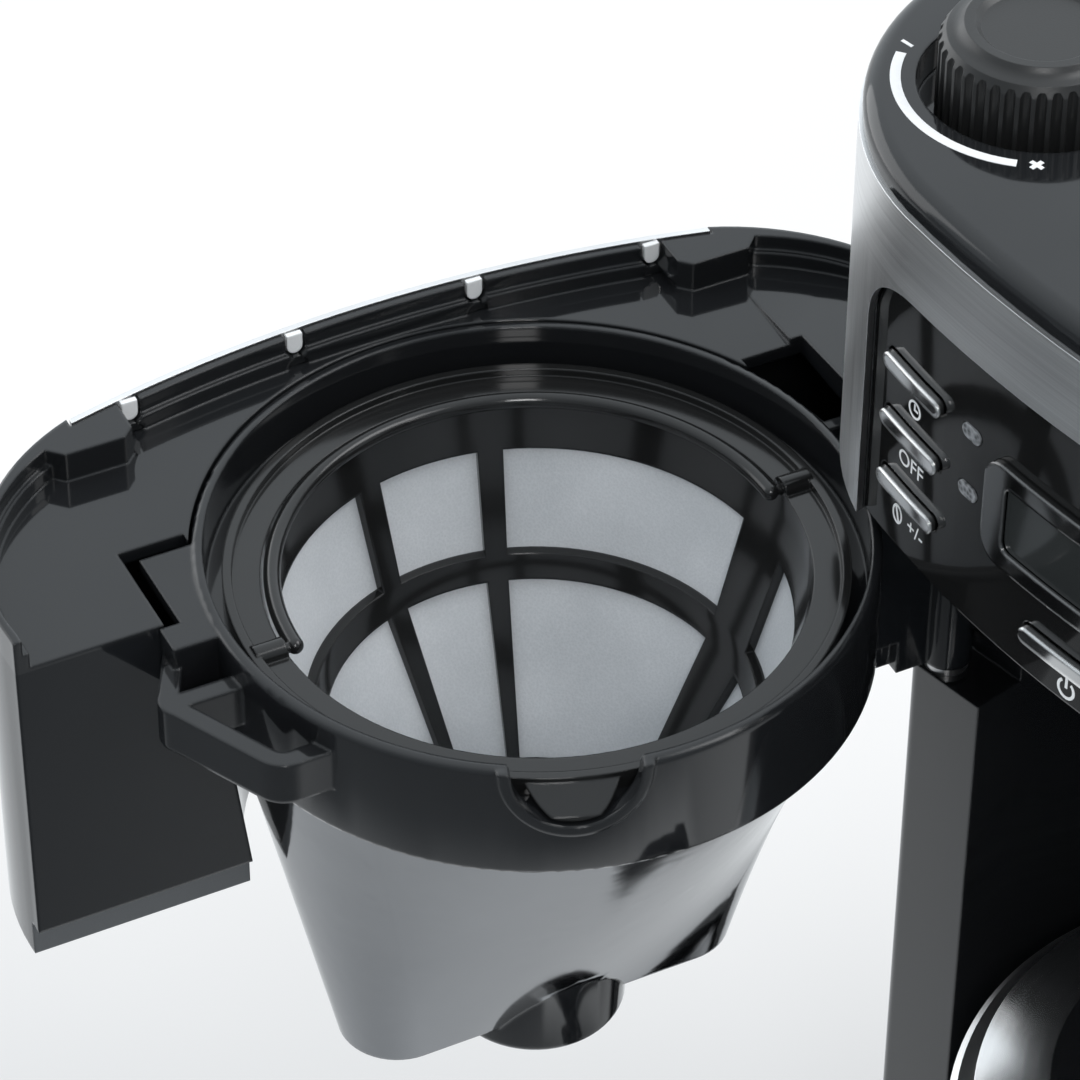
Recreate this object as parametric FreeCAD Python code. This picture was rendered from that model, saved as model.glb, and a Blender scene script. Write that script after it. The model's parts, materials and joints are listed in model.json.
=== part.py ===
import FreeCAD, Part
import math
import os

# Drip coffee maker with a built-in grinder and a front door that carries the brew basket.
# Millimetres. +X is right seen from the front, +Y is back, +Z is up.
# The origin is on the table, under the middle of the machine.

Vec = FreeCAD.Vector
UP = Vec(0, 0, 1)
BACK = Vec(0, 1, 0)
RIGHT = Vec(1, 0, 0)

# Clearances
seat_gap = 0.15
move_gap = 0.4
shaft_gap = 0.05

# Heights above the table
foot_height = 4.0
base_top = 32.0
rim_height = 310.0
door_bottom = rim_height - 66.0
panel_bottom = rim_height - 58.0
plate_top = rim_height + 8.0
door_top = rim_height + 14.5
head_bottom = rim_height + 15.5
fascia_height = 59.0
band_height = 16.5
cover_height = 6.0
band_bottom = head_bottom + fascia_height
band_top = band_bottom + band_height
cover_top = band_top + cover_height

# Walls
wall = 2.5
tower_wall = 3.0
cover_wall = 3.0
steel_wall = 1.5
skin_wall = 1.2

# Filter rim and basket collar, which the door, the bay and the basket follow
rim_radius = 58.0
rim_width = 5.0
rim_inner = rim_radius - rim_width
collar_room = 3.3
collar_wall = 2.2
collar_inner = rim_radius + collar_room
collar_radius = collar_inner + collar_wall

# Plan of the base, the tower and the head
body_half_width = 102.0
body_back = 150.0
back_round = 12.0
base_front = 92.0
base_side_front = 34.0
tower_front = 13.0
tower_setback = 1.0
tower_front_round = 3.0
bay_room = 18.5
bay_half_width = collar_radius + bay_room
head_half_width = 106.0
head_front = 71.5
head_corner_x = head_half_width - 43.0
head_corner_y = 64.5
head_bend_x = head_half_width - 16.0
head_bend_y = 49.0
head_side_y = 14.0

# Brew axis and the door's hinge, with the door closed
brew_x = 0.0
brew_y = 0.0
hinge_inset = 6.0
hinge_x = hinge_inset - body_half_width
hinge_y = -8.0
hinge_pin_radius = 2.5
knuckle_radius = 5.0
pin_depth = 12.0
door_open_angle = 105.5

# Door
door_proud = 5.5
door_sag = 8.3
door_jog = 0.7
door_apex = collar_radius + door_proud
door_jog_x = 67.5
door_jog_y = door_apex - door_sag
door_corner_start = door_jog_y + door_jog
door_end_x = body_half_width - 2.5
door_bend_x = door_end_x - 11.0
door_bend_y = door_jog_y - 14.7
door_inner_y = 7.5
door_plate = 3.0
door_upper_wall = 1.6
door_lower_wall = 2.8
door_ledge_height = 3.2
skin_slots = (-55.0, -19.0, 19.0, 55.0)
skin_slot_width = 4.5
skin_slot_depth = 4.5
end_block_near = 8.0
end_block_far = 4.0
end_block_depth = 8.7
end_block_slant = 4.0
rail_setback = 3.0
ramp_width = 26.0
ramp_length = 39.5
ramp_rise = 3.0
ear_notch_near = collar_radius - 5.5
ear_notch_far = collar_radius + 7.5
ear_notch_depth = 29.0
ear_room = 3.0

# Brew basket
collar_top = rim_height + 8.3
collar_bottom = rim_height - 16.5
ledge_height = rim_height - 2.2
ledge_inner = rim_radius - 2.5
basket_top_radius = collar_radius - 3.0
basket_wall = 2.5
basket_bottom = rim_height - 105.0
basket_half_length = 42.0
basket_half_width = 12.0
lobe_radius = 18.0
lobe_bottom = rim_height - 111.0
lobe_top = rim_height - 80.0
lobe_floor = 3.0
valve_chamber_radius = 13.0
valve_hole_radius = 4.0
valve_stem_radius = 3.0
valve_disc_radius = 9.0
valve_disc_thickness = 2.0
valve_nub = 3.5
spring_radius = 6.0
spring_wire = 1.0
spring_height = 9.0
bridge_bar = 3.0
loop_low = rim_height - 6.0
loop_high = rim_height + 3.0
loop_bar = 3.8
loop_reach = 13.5
loop_bend = 4.5
loop_back = 31.2
loop_cross = 8.9
loop_pocket_floor = 2.0
strap_back = -0.7
spout_angle = 70.0
spout_half_width = 11.5
spout_flare = 0.45
spout_depth = 13.5
spout_bead = 2.2
spout_bead_proud = 0.9
lip_gap = 0.7

# Permanent filter
rim_thickness = 2.5
rim_bead = 1.6
rim_bead_width = 1.8
filter_ring_radius = rim_inner - 10.0
filter_ring_depth = 35.0
filter_foot_radius = 23.0
filter_depth = 74.0
filter_wall = 2.0
mesh_wall = 0.5
narrow_rib_angle = 6.0
wide_rib_angle = 17.0
narrow_rib_offset = 15.5
bail_radius = rim_inner - 4.2
bail_wire = 1.6
bail_pin = 1.0

# Front panel: display, buttons and lights, as heights above the rim plane
fascia_front = 69.5
fascia_curve = 250.0
fascia_wall = 2.5
fascia_half_width = 74.0
window_round = 14.0
display_height = 46.0
display_half_width = 37.0
display_half_height = 11.0
lens_half_width = 31.5
lens_half_height = 7.2
bezel_proud = 1.6
button_length = 18.0
button_height = 3.2
button_proud = 1.8
button_travel = 1.2
button_column = 59.7
button_heights = (55.7, 42.8, 29.2)
low_button_x = 16.0
low_button_height = 24.8
light_x = -42.7
light_heights = (56.3, 43.4)
light_length = 5.4
light_height = 3.2
board_y = 52.0
board_half_width = 70.0
board_wall = 1.6
switch_height = 0.8

# Top: dial, hopper lid and tank lid
dial_x = 36.0 - head_half_width
dial_y = -25.6
dial_radius = 17.5
dial_height = 19.0
dial_recess_radius = 21.0
dial_recess = 7.0
dial_shaft = 3.0
flutes = 40
flute_radius = 1.0
lid_wall = 4.5
lid_round = 14.0
lid_overhang = 8.0
hopper_box = (-27.0, head_half_width - 22.0, -46.0, 130.0)
tank_side = 5.0
tank_left = tank_side - min(body_half_width, head_half_width)
tank_right = -44.0
tank_front = 91.0
tank_box = (tank_left, tank_right, tank_front, 143.0)
tank_mouth_box = (tank_left + 3.0, tank_right - 4.0, tank_front + 3.0, 130.0)
hopper_wall = 2.0
tank_wall = 2.0
tank_bottom = 60.0
lid_pin = 1.5
lug_width = 5.0
lug_radius = 3.4

# Grinder and water path
grinder_x = 58.0
grinder_y = 112.0
motor_radius = 26.0
motor_length = 100.0
motor_flange = 29.0
burr_case_radius = 29.5
burr_radius = 24.0
burr_case_height = 32.0
burr_shaft = 4.0
shower_radius = 26.0
shower_depth = 4.0
shower_wall = 1.4
shower_y = -24.0
tube_radius = 4.0
tube_bore = 2.6
shower_socket = tube_radius + 4.0
heater_radius = 56.0
heater_width = 14.0
heater_height = 12.0

# Carafe
carafe_x = brew_x
carafe_y = brew_y
carafe_foot_radius = 62.0
carafe_room = 5.0
carafe_radius = bay_half_width - carafe_room
carafe_shoulder = 68.0
carafe_height = 128.0
carafe_wall = 1.0
liner_gap = 5.0
neck_radius = 48.0
collar_ring_radius = 70.0
collar_ring_height = 16.0
lid_height = 13.0
lid_edge = 4.0
rest_radius = 66.0
rest_wall = 1.5


def wire(start, *steps):
    """A closed outline in the XY plane: a point is a line to it, a pair an arc through the first."""
    edges = []
    here = Vec(start[0], start[1], 0)
    first = here
    for step in steps:
        if isinstance(step[0], tuple):
            mid = Vec(step[0][0], step[0][1], 0)
            there = Vec(step[1][0], step[1][1], 0)
            edges.append(Part.Arc(here, mid, there).toShape())
        else:
            there = Vec(step[0], step[1], 0)
            if here.distanceToPoint(there) > 1e-6:
                edges.append(Part.LineSegment(here, there).toShape())
        here = there
    if here.distanceToPoint(first) > 1e-6:
        edges.append(Part.LineSegment(here, first).toShape())
    return Part.Wire(edges)


def prism(outline, low, high):
    """A flat outline raised from one height to another."""
    face = Part.Face(outline)
    face.translate(Vec(0, 0, low))
    return face.extrude(Vec(0, 0, high - low))


def inset(outline, amount):
    """The outline moved inwards by an amount, or outwards if it is negative."""
    return outline.makeOffset2D(-amount, 2)


def box(x0, x1, y0, y1, z0, z1):
    return Part.makeBox(x1 - x0, y1 - y0, z1 - z0, Vec(x0, y0, z0))


def rod(x, y, z0, z1, radius):
    return Part.makeCylinder(radius, z1 - z0, Vec(x, y, z0))


def tube(x, y, z0, z1, outer, inner):
    return rod(x, y, z0, z1, outer).cut(rod(x, y, z0, z1, inner))


def rounded(x0, x1, y0, y1, radius):
    """The outline of a rectangle with round corners."""
    k = radius * (1 - math.sqrt(0.5))
    return wire(
        (x0 + radius, y0),
        (x1 - radius, y0),
        ((x1 - k, y0 + k), (x1, y0 + radius)),
        (x1, y1 - radius),
        ((x1 - k, y1 - k), (x1 - radius, y1)),
        (x0 + radius, y1),
        ((x0 + k, y1 - k), (x0, y1 - radius)),
        (x0, y0 + radius),
        ((x0 + k, y0 + k), (x0 + radius, y0)),
    )


def turned(profile, x, y, angle=360.0):
    """A closed profile of (radius, height) points turned about a vertical axis."""
    points = [Vec(x + r, y, z) for r, z in profile]
    face = Part.Face(Part.makePolygon(points + points[:1]))
    return face.revolve(Vec(x, y, 0), UP, angle)


def about(shape, x, y, angle):
    """A copy of the shape turned about a vertical axis."""
    copy = shape.copy()
    copy.rotate(Vec(x, y, 0), UP, angle)
    return copy


def moved(shape, x, y, z):
    copy = shape.copy()
    copy.translate(Vec(x, y, z))
    return copy


def joined(shapes):
    """Several shapes fused to one solid."""
    whole = shapes[0]
    for shape in shapes[1:]:
        whole = whole.fuse(shape)
    return whole.removeSplitter()


def edges_at(shape, height, tolerance=0.01):
    """The edges that lie flat at one height."""
    return [e for e in shape.Edges if abs(e.BoundBox.ZMin - height) < tolerance
            and abs(e.BoundBox.ZMax - height) < tolerance]


def piped(points, bend, radius):
    """A round bar along straight runs with rounded corners."""
    edges = []
    here = points[0]
    for before, corner, after in zip(points, points[1:], points[2:]):
        into = (corner - before).normalize()
        out = (after - corner).normalize()
        half = into.getAngle(out) / 2
        reach = bend * math.tan(half)
        start = corner - into * reach
        end = corner + out * reach
        centre_way = (out - into).normalize()
        centre = corner + centre_way * (bend / math.cos(half))
        edges.append(Part.LineSegment(here, start).toShape())
        edges.append(Part.Arc(start, centre - centre_way * bend, end).toShape())
        here = end
    edges.append(Part.LineSegment(here, points[-1]).toShape())
    way = (points[1] - points[0]).normalize()
    ring = Part.Wire(Part.makeCircle(radius, points[0], way))
    return Part.Wire(edges).makePipeShell([ring], True, False)


def pipe(points, bend):
    """A water tube with its bore."""
    return piped(points, bend, tube_radius).cut(piped(points, bend, tube_bore))


# Outlines seen from above


def back_corner(side):
    """The rounded rear corner of the machine on the right, from its side to its back."""
    k = back_round * (1 - math.sqrt(0.5))
    return (side, body_back - back_round), (side - k, body_back - k), (side - back_round, body_back)


def machine_outline(half_width, front_start, front_steps):
    """A machine outline: the front steps run from the left side to the right one, the rest is shared."""
    right, right_mid, right_back = back_corner(half_width)
    return wire(
        front_start,
        *front_steps,
        right,
        (right_mid, right_back),
        (-right_back[0], right_back[1]),
        ((-right_mid[0], right_mid[1]), (-right[0], right[1])),
    )


def base_outline():
    return machine_outline(
        body_half_width,
        (-body_half_width, -base_side_front),
        [((0, -base_front), (body_half_width, -base_side_front))],
    )


def tower_outline(front):
    k = tower_front_round * (1 - math.sqrt(0.5))
    w = body_half_width
    return machine_outline(
        w,
        (-w, -front + tower_front_round),
        [
            ((-w + k, -front + k), (-w + tower_front_round, -front)),
            (w - tower_front_round, -front),
            ((w - k, -front + k), (w, -front + tower_front_round)),
        ],
    )


def head_outline():
    return machine_outline(
        head_half_width,
        (-head_half_width, -head_side_y),
        [
            ((-head_bend_x, -head_bend_y), (-head_corner_x, -head_corner_y)),
            ((0, -head_front), (head_corner_x, -head_corner_y)),
            ((head_bend_x, -head_bend_y), (head_half_width, -head_side_y)),
        ],
    )


def bay_outline(grow):
    """The carafe bay: straight sides and a half-round back, open to the front."""
    r = bay_half_width + grow
    front = body_back
    return wire((-r, -front), (r, -front), (r, 0), ((0, r), (-r, 0)))


def door_outline(end_y, skin=0.0):
    """The closed door seen from above; the middle is set back by the thickness of its skin."""
    return wire(
        (-door_end_x, end_y),
        (-door_end_x, -door_inner_y - wall),
        ((-door_bend_x, -door_bend_y), (-door_jog_x, -door_corner_start)),
        (-door_jog_x, -door_jog_y + skin),
        ((0, -door_apex + skin), (door_jog_x, -door_jog_y + skin)),
        (door_jog_x, -door_corner_start),
        ((door_bend_x, -door_bend_y), (door_end_x, -door_inner_y - wall)),
        (door_end_x, end_y),
    )


def door_inside(end_y, thickness):
    """The inner face of the door's wall seen from above, with no step at the skin's edges."""
    back = skin_wall + seat_gap + thickness
    slant = thickness * math.sqrt(0.5)
    end = door_end_x - thickness
    bend_x = door_bend_x - slant
    bend_y = door_bend_y - slant
    return wire(
        (-end, end_y),
        (-end, -door_inner_y - wall),
        ((-bend_x, -bend_y), (-door_jog_x, -door_jog_y + back)),
        ((0, -door_apex + back), (door_jog_x, -door_jog_y + back)),
        ((bend_x, -bend_y), (end, -door_inner_y - wall)),
        (end, end_y),
    )


def fascia_band(inner, outer, low, high, half_width):
    """A slab that follows the panel's curve, between two depths counted outwards from its front."""
    def at(depth, x):
        return -(fascia_front + depth) + fascia_curve - math.sqrt(fascia_curve ** 2 - x ** 2)
    w = half_width
    outline = wire(
        (-w, at(outer, w)),
        ((0, at(outer, 0)), (w, at(outer, w))),
        (w, at(inner, w)),
        ((0, at(inner, 0)), (-w, at(inner, w))),
    )
    return prism(outline, low, high)


def upright(outline, x, z):
    """A flat outline stood up facing the front, wide enough in depth to cut any front piece."""
    body = prism(outline, 0, head_front * 2)
    body.rotate(Vec(0, 0, 0), RIGHT, 90)
    return moved(body, x, 0, z)


def stadium(half_length, half_height):
    """A slot outline with round ends, centred on the origin."""
    straight = half_length - half_height
    return wire(
        (-straight, -half_height),
        (straight, -half_height),
        ((half_length, 0), (straight, half_height)),
        (-straight, half_height),
        ((-half_length, 0), (-straight, -half_height)),
    )


def rounded_block(half_width, half_height, radius):
    return rounded(-half_width, half_width, -half_height, half_height, radius)


def opened(shape):
    """A door piece turned from closed to the open rest position."""
    return about(shape, hinge_x, hinge_y, -door_open_angle)


# Base

foot_rear_x = body_half_width - 18.0
foot_rear_y = body_back - 26.0
foot_front_x = body_half_width - 24.0
foot_front_y = -40.0
feet_places = [
    (-foot_rear_x, foot_rear_y), (foot_rear_x, foot_rear_y),
    (-foot_front_x, foot_front_y), (foot_front_x, foot_front_y),
]
foot_radius = 9.0
foot_stud = 3.0
pan_wall = 2.5
base_roof = 4.0
gland_x = 60.0
gland_z = 17.0
gland_radius = 7.0
gland_bore = 3.5
riser_x = 14.0
cold_x = tank_right - tube_radius * 2
tube_y = 117.0
tube_floor_z = 18.0


def base_housing():
    body = prism(base_outline(), foot_height, base_top)
    body = body.makeFillet(3.0, edges_at(body, base_top))
    body = body.cut(prism(inset(base_outline(), wall), foot_height, base_top - base_roof))
    body = body.cut(rod(carafe_x, carafe_y, base_top - rest_wall, base_top, rest_radius + seat_gap))
    body = body.cut(rod(cold_x, tube_y, 0, base_top, tube_radius + seat_gap))
    body = body.cut(rod(riser_x, tube_y, 0, base_top, tube_radius + seat_gap))
    gland_hole = Part.makeCylinder(gland_radius, wall * 4, Vec(gland_x, body_back - wall * 2, gland_z), BACK)
    return body.cut(gland_hole)


def base_pan():
    body = prism(inset(base_outline(), wall + seat_gap), foot_height, foot_height + pan_wall)
    for x, y in feet_places:
        body = body.cut(rod(x, y, 0, base_top, foot_stud + shaft_gap))
    for side in (-1, 1):
        for row in range(6):
            y = 60.0 + row * 8.0
            slot = moved(prism(stadium(18.0, 1.8), 0, base_top), side * 40.0, y, 0)
            body = body.cut(slot)
    return body


def rubber_feet():
    feet = []
    for x, y in feet_places:
        foot = rod(x, y, 0, foot_height, foot_radius)
        foot = foot.makeChamfer(1.0, edges_at(foot, 0))
        feet.append(foot.fuse(rod(x, y, foot_height, foot_height + pan_wall, foot_stud)).removeSplitter())
    return Part.makeCompound(feet)


def carafe_rest():
    r = rest_radius
    top = base_top
    low = base_top - rest_wall
    groove = 0.6
    profile = [(0, low), (r, low), (r, top), (r - 4, top), (r - 5, top - groove), (0, top - groove)]
    return turned(profile, carafe_x, carafe_y)


def flow_heater():
    """A cast heater in a three-quarter ring with its legs on the base pan."""
    low = foot_height + pan_wall
    z = tube_floor_z
    half = heater_width / 2
    profile = [
        (heater_radius - half, z - heater_height / 2),
        (heater_radius + half, z - heater_height / 2),
        (heater_radius + half - 3, z + heater_height / 2 - 1),
        (heater_radius - half + 3, z + heater_height / 2 - 1),
    ]
    body = turned(profile, carafe_x, carafe_y, 270.0)
    body = about(body, carafe_x, carafe_y, 135.0)
    legs = []
    for angle in (200, 270, 340):
        x = carafe_x + heater_radius * math.cos(math.radians(angle))
        y = carafe_y + heater_radius * math.sin(math.radians(angle))
        legs.append(rod(x, y, low, z, 3.5))
    return joined([body] + legs)


tube_bend = 9.0
tube_lead = 30.0


def heater_way(side):
    """A tube's way onto one end of the heater: a point before it and the end, in line with the ring."""
    reach = heater_radius * math.sqrt(0.5)
    tangent = Vec(-side, 1, 0).normalize()
    face = Vec(carafe_x + side * reach, carafe_y + reach, tube_floor_z)
    return face + tangent * tube_lead, face + tangent * seat_gap


def cold_tube():
    """From the tank's outlet down into the base and forward to the heater, with the check valve in line."""
    inlet = Vec(cold_x, tube_y, tank_bottom - seat_gap)
    low = Vec(cold_x, tube_y, tube_floor_z)
    return pipe([inlet, low, *heater_way(-1)], tube_bend)


def check_valve():
    z = tank_bottom - 16.0
    return tube(cold_x, tube_y, z - 9.0, z + 9.0, tube_radius + 4.0, tube_radius + shaft_gap)


def riser_tube():
    """From the heater up behind the bay and forward to the shower head."""
    before, start = heater_way(1)
    low = Vec(riser_x, tube_y, tube_floor_z)
    high = Vec(riser_x, tube_y, head_bottom + 30.0)
    over = Vec(brew_x, brew_y + shower_y, head_bottom + 30.0)
    end = Vec(brew_x, brew_y + shower_y, head_bottom + wall + 6.0)
    return pipe([start, before, low, high, over, end], tube_bend)


def cord_gland():
    flange = Part.makeCylinder(gland_radius + 2.5, 2.0, Vec(gland_x, body_back, gland_z), BACK)
    neck = Part.makeCylinder(gland_radius - shaft_gap, wall, Vec(gland_x, body_back - wall, gland_z), BACK)
    bore = Part.makeCylinder(gland_bore, 20.0, Vec(gland_x, body_back - wall * 2, gland_z), BACK)
    return flange.fuse(neck).removeSplitter().cut(bore)


# Tower

rear_open_half = body_half_width - 14.0
rear_open_low = 44.0
rear_open_high = head_bottom - 8.0
rear_flange = 3.0
ledge_top = door_bottom - 2.0


def tower_shell():
    """Two columns, the side walls and the half-round bay wall, open to the base and the head."""
    body = prism(tower_outline(tower_front), base_top, ledge_top)
    body = body.fuse(prism(tower_outline(tower_setback), ledge_top, head_bottom)).removeSplitter()
    low_hollow = prism(inset(tower_outline(tower_front), tower_wall), base_top, ledge_top - tower_wall)
    high_hollow = prism(inset(tower_outline(tower_setback), tower_wall), ledge_top - tower_wall, head_bottom)
    bay_wall = prism(bay_outline(tower_wall), base_top, head_bottom)
    body = body.cut(low_hollow.cut(bay_wall)).cut(high_hollow.cut(bay_wall))
    body = body.cut(prism(bay_outline(0.0), base_top, head_bottom))
    body = body.cut(box(-rear_open_half, rear_open_half, body_back - tower_wall * 2, body_back + 1,
                        rear_open_low, rear_open_high))
    return body.cut(rod(hinge_x, hinge_y, base_top, head_bottom, hinge_pin_radius + shaft_gap))


def rear_cover():
    low = rear_open_low + seat_gap
    high = rear_open_high - seat_gap
    half = rear_open_half - seat_gap
    inner = body_back - tower_wall
    plate = box(-half, half, inner, body_back, low, high)
    flange = box(-half - rear_flange, half + rear_flange, inner - 2.0, inner - seat_gap / 3,
                 low - rear_flange, high + rear_flange)
    web = box(-half, half, inner - 2.0, inner, low, high)
    body = joined([plate, flange, web])
    for row in range(8):
        z = rear_open_low + 30.0 + row * 9.0
        for x in (-45.0, 45.0):
            slot = moved(prism(stadium(26.0, 2.0), -body_back * 2, 0), x, 0, 0)
            slot.rotate(Vec(x, 0, 0), RIGHT, 90)
            body = body.cut(moved(slot, 0, 0, z))
    return body


def water_tank():
    x0, x1, y0, y1 = tank_box
    outer = prism(rounded(x0, x1, y0, y1, 8.0), tank_bottom, band_top)
    inner = prism(rounded(x0 + tank_wall, x1 - tank_wall, y0 + tank_wall, y1 - tank_wall, 6.0),
                  tank_bottom + tank_wall, band_top + 1)
    body = outer.cut(inner)
    return body.cut(rod(cold_x, tube_y, tank_bottom - 1, tank_bottom + tank_wall + 1, tube_bore))


# Head

chute_drop = (brew_x + 24.0, brew_y + 26.0)
chute_half = 11.0


def head_shell():
    outer = inset(head_outline(), steel_wall + seat_gap)
    inner = inset(head_outline(), steel_wall + seat_gap + wall)
    body = prism(outer, head_bottom, band_top)
    body = body.cut(prism(inner, head_bottom + wall, band_top + 1))
    body = body.cut(box(-fascia_half_width, fascia_half_width, -head_front - 1, -board_y - 1,
                        head_bottom - 1, band_bottom))
    low = head_bottom - 1
    high = head_bottom + wall + 1
    tank_x0, tank_x1, tank_y0, tank_y1 = tank_box
    grow = 1.0
    body = body.cut(box(tank_x0 - grow, tank_x1 + grow, tank_y0 - grow, tank_y1 + grow, low, high))
    body = body.cut(rod(grinder_x, grinder_y, low, high, motor_radius + seat_gap))
    body = body.cut(rod(riser_x, tube_y, low, high, tube_radius + seat_gap))
    body = body.cut(rod(brew_x, brew_y + shower_y, low, high, shower_socket + seat_gap))
    cx, cy = chute_drop
    half = chute_half + seat_gap
    body = body.cut(box(cx - half, cx + half, cy - half, cy + half, low, high))
    return body.cut(rod(hinge_x, hinge_y, low, high, hinge_pin_radius + shaft_gap))


def steel_frame():
    """A steel arch: a band round the head and two legs beside the control panel."""
    body = prism(head_outline(), head_bottom, band_top)
    body = body.cut(prism(inset(head_outline(), steel_wall), head_bottom - 1, band_top + 1))
    span = fascia_half_width
    window = rounded(-span, span, head_bottom - 4 * window_round, band_bottom, window_round)
    body = body.cut(upright(window, 0, 0))
    leg_back = 46.0
    return body.cut(box(-head_half_width - 1, head_half_width + 1, -leg_back, body_back + 1,
                        head_bottom - 1, band_bottom))


def top_cover():
    """The black top, with its dial well, the mouths of hopper and tank, and the lugs of their lids."""
    outline = inset(head_outline(), 0.6)
    body = prism(outline, band_top, cover_top)
    body = body.makeFillet(3.5, edges_at(body, cover_top))
    body = body.cut(prism(inset(outline, wall), band_top - 1, cover_top - cover_wall))
    well_bottom = cover_top - dial_recess
    body = body.fuse(rod(dial_x, dial_y, well_bottom - wall, cover_top - 1, dial_recess_radius + wall))
    body = body.cut(rod(dial_x, dial_y, well_bottom, cover_top + 1, dial_recess_radius))
    body = body.cut(rod(dial_x, dial_y, band_bottom, cover_top + 1, dial_shaft + shaft_gap))
    for mouth in (hopper_box, tank_mouth_box):
        x0, x1, y0, y1 = mouth
        g = seat_gap
        body = body.cut(prism(rounded(x0 - g, x1 + g, y0 - g, y1 + g, lid_round - lid_overhang + 4),
                              band_top - 1, cover_top + 1))
        body = joined([body] + lid_lugs(mouth))
    return body.removeSplitter()


def lid_box(mouth):
    x0, x1, y0, y1 = mouth
    return x0 - lid_overhang, x1 + lid_overhang, y0 - lid_overhang, y1 + lid_overhang


def lid_axis(mouth):
    """The place of a lid's hinge line, just behind the lid."""
    y1 = lid_box(mouth)[3]
    return y1 + lug_radius + move_gap, cover_top + lug_radius + move_gap


def lug_places(mouth):
    """The inner faces of the two lugs that hold a lid's pins."""
    x0, x1 = lid_box(mouth)[:2]
    return x0 + 12.0, x1 - 12.0


def lid_lugs(mouth):
    y, z = lid_axis(mouth)
    lugs = []
    left, right = lug_places(mouth)
    for x in (left, right - lug_width):
        post = Part.makeCylinder(lug_radius, lug_width, Vec(x, y, z), RIGHT)
        post = post.fuse(box(x, x + lug_width, y - lug_radius, y + lug_radius, cover_top - 1, z))
        lugs.append(post.cut(Part.makeCylinder(lid_pin + shaft_gap, lug_width, Vec(x, y, z), RIGHT)))
    return lugs


def lid(mouth):
    """A low crowned lid with a rim that drops into its mouth and a hinge barrel between the lugs."""
    x0, x1, y0, y1 = lid_box(mouth)
    low = cover_top + move_gap
    body = prism(rounded(x0, x1, y0, y1, lid_round), low, low + lid_wall)
    body = body.makeFillet(2.0, edges_at(body, low + lid_wall))
    m0, m1, n0, n1 = mouth
    g = hopper_wall + move_gap * 2
    rim = prism(rounded(m0 + g, m1 - g, n0 + g, n1 - g, 6.0), low - 2.0, low)
    g = g + wall
    rim = rim.cut(prism(rounded(m0 + g, m1 - g, n0 + g, n1 - g, 4.0), low - 3, low))
    y, z = lid_axis(mouth)
    left, right = lug_places(mouth)
    inner_left = left + lug_width + move_gap
    inner_right = right - lug_width - move_gap
    barrel = Part.makeCylinder(lug_radius, inner_right - inner_left, Vec(inner_left, y, z), RIGHT)
    web = box(inner_left, inner_right, y1 - 3.0, y, low + 0.4, low + lid_wall - 1.0)
    pin = Part.makeCylinder(lid_pin, right - left, Vec(left, y, z), RIGHT)
    return joined([body, rim, barrel, web, pin])


def bean_hopper():
    """A tub that narrows towards the burrs at the back right."""
    def funnel(shrink, low):
        x0, x1, y0, y1 = hopper_box
        top = rounded(x0 + shrink, x1 - shrink, y0 + shrink, y1 - shrink, 10.0 - shrink)
        top.translate(Vec(0, 0, cover_top))
        middle = top.copy()
        middle.translate(Vec(0, 0, -12.0))
        half = 14.0 - shrink
        foot = rounded(grinder_x - half, grinder_x + half, grinder_y - half, grinder_y + half, 10.0 - shrink)
        foot.translate(Vec(0, 0, low))
        rim = Part.makeLoft([middle, top], True, True)
        return rim.fuse(Part.makeLoft([foot, middle], True, True)).removeSplitter()
    low = head_bottom + wall + cover_wall + burr_case_height + seat_gap
    return funnel(0.0, low).cut(funnel(hopper_wall, low))


def grind_dial():
    """A fluted knob with a raised ring on top and its shaft."""
    low = cover_top - dial_recess + move_gap
    top = low + dial_height
    r = dial_radius
    profile = [
        (0, low), (r, low), (r, top - 4.0), (r - 1.2, top - 2.0), (r - 3.0, top - 1.4), (r - 4.2, top),
        (r - 6.0, top), (r - 7.2, top - 1.0), (0, top - 1.0),
    ]
    body = turned(profile, dial_x, dial_y)
    for flute in range(flutes):
        angle = 2 * math.pi * flute / flutes
        x = dial_x + (r + 0.25) * math.cos(angle)
        y = dial_y + (r + 0.25) * math.sin(angle)
        body = body.cut(rod(x, y, low - 1, top - 3.0, flute_radius))
    shaft = rod(dial_x, dial_y, band_bottom + 2.0, low, dial_shaft)
    return body.fuse(shaft).removeSplitter()


def dial_control():
    """The rotary control under the dial well, round the end of its shaft."""
    well_bottom = cover_top - dial_recess - wall
    can = rod(dial_x, dial_y, band_bottom, well_bottom, 10.0)
    return can.cut(rod(dial_x, dial_y, band_bottom + 1.5, well_bottom, dial_shaft + shaft_gap))


def shower_head():
    """A spray disc under the head's floor, with its socket for the riser."""
    x = brew_x
    y = brew_y + shower_y
    top = head_bottom
    low = top - shower_depth
    r = shower_radius
    disc = turned([(0, low), (r - 2, low), (r, low + 2.0), (r, top), (0, top)], x, y)
    socket = rod(x, y, top, top + wall + 14.0, shower_socket)
    body = disc.fuse(socket).removeSplitter()
    body = body.cut(rod(x, y, top + wall + 6.0 - seat_gap, top + wall + 15.0, tube_radius + shaft_gap))
    body = body.cut(rod(x, y, low + shower_wall, top + wall + 8.0, tube_bore))
    body = body.cut(rod(x, y, low + shower_wall, top - shower_wall, shower_radius - 4.0))
    for ring_radius, count in ((8.0, 6), (16.0, 12)):
        for hole in range(count):
            angle = 2 * math.pi * hole / count
            body = body.cut(rod(x + ring_radius * math.cos(angle), y + ring_radius * math.sin(angle),
                                low - 1, low + shower_wall, 1.2))
    return body


# Control panel


def display_z():
    return rim_height + display_height


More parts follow.
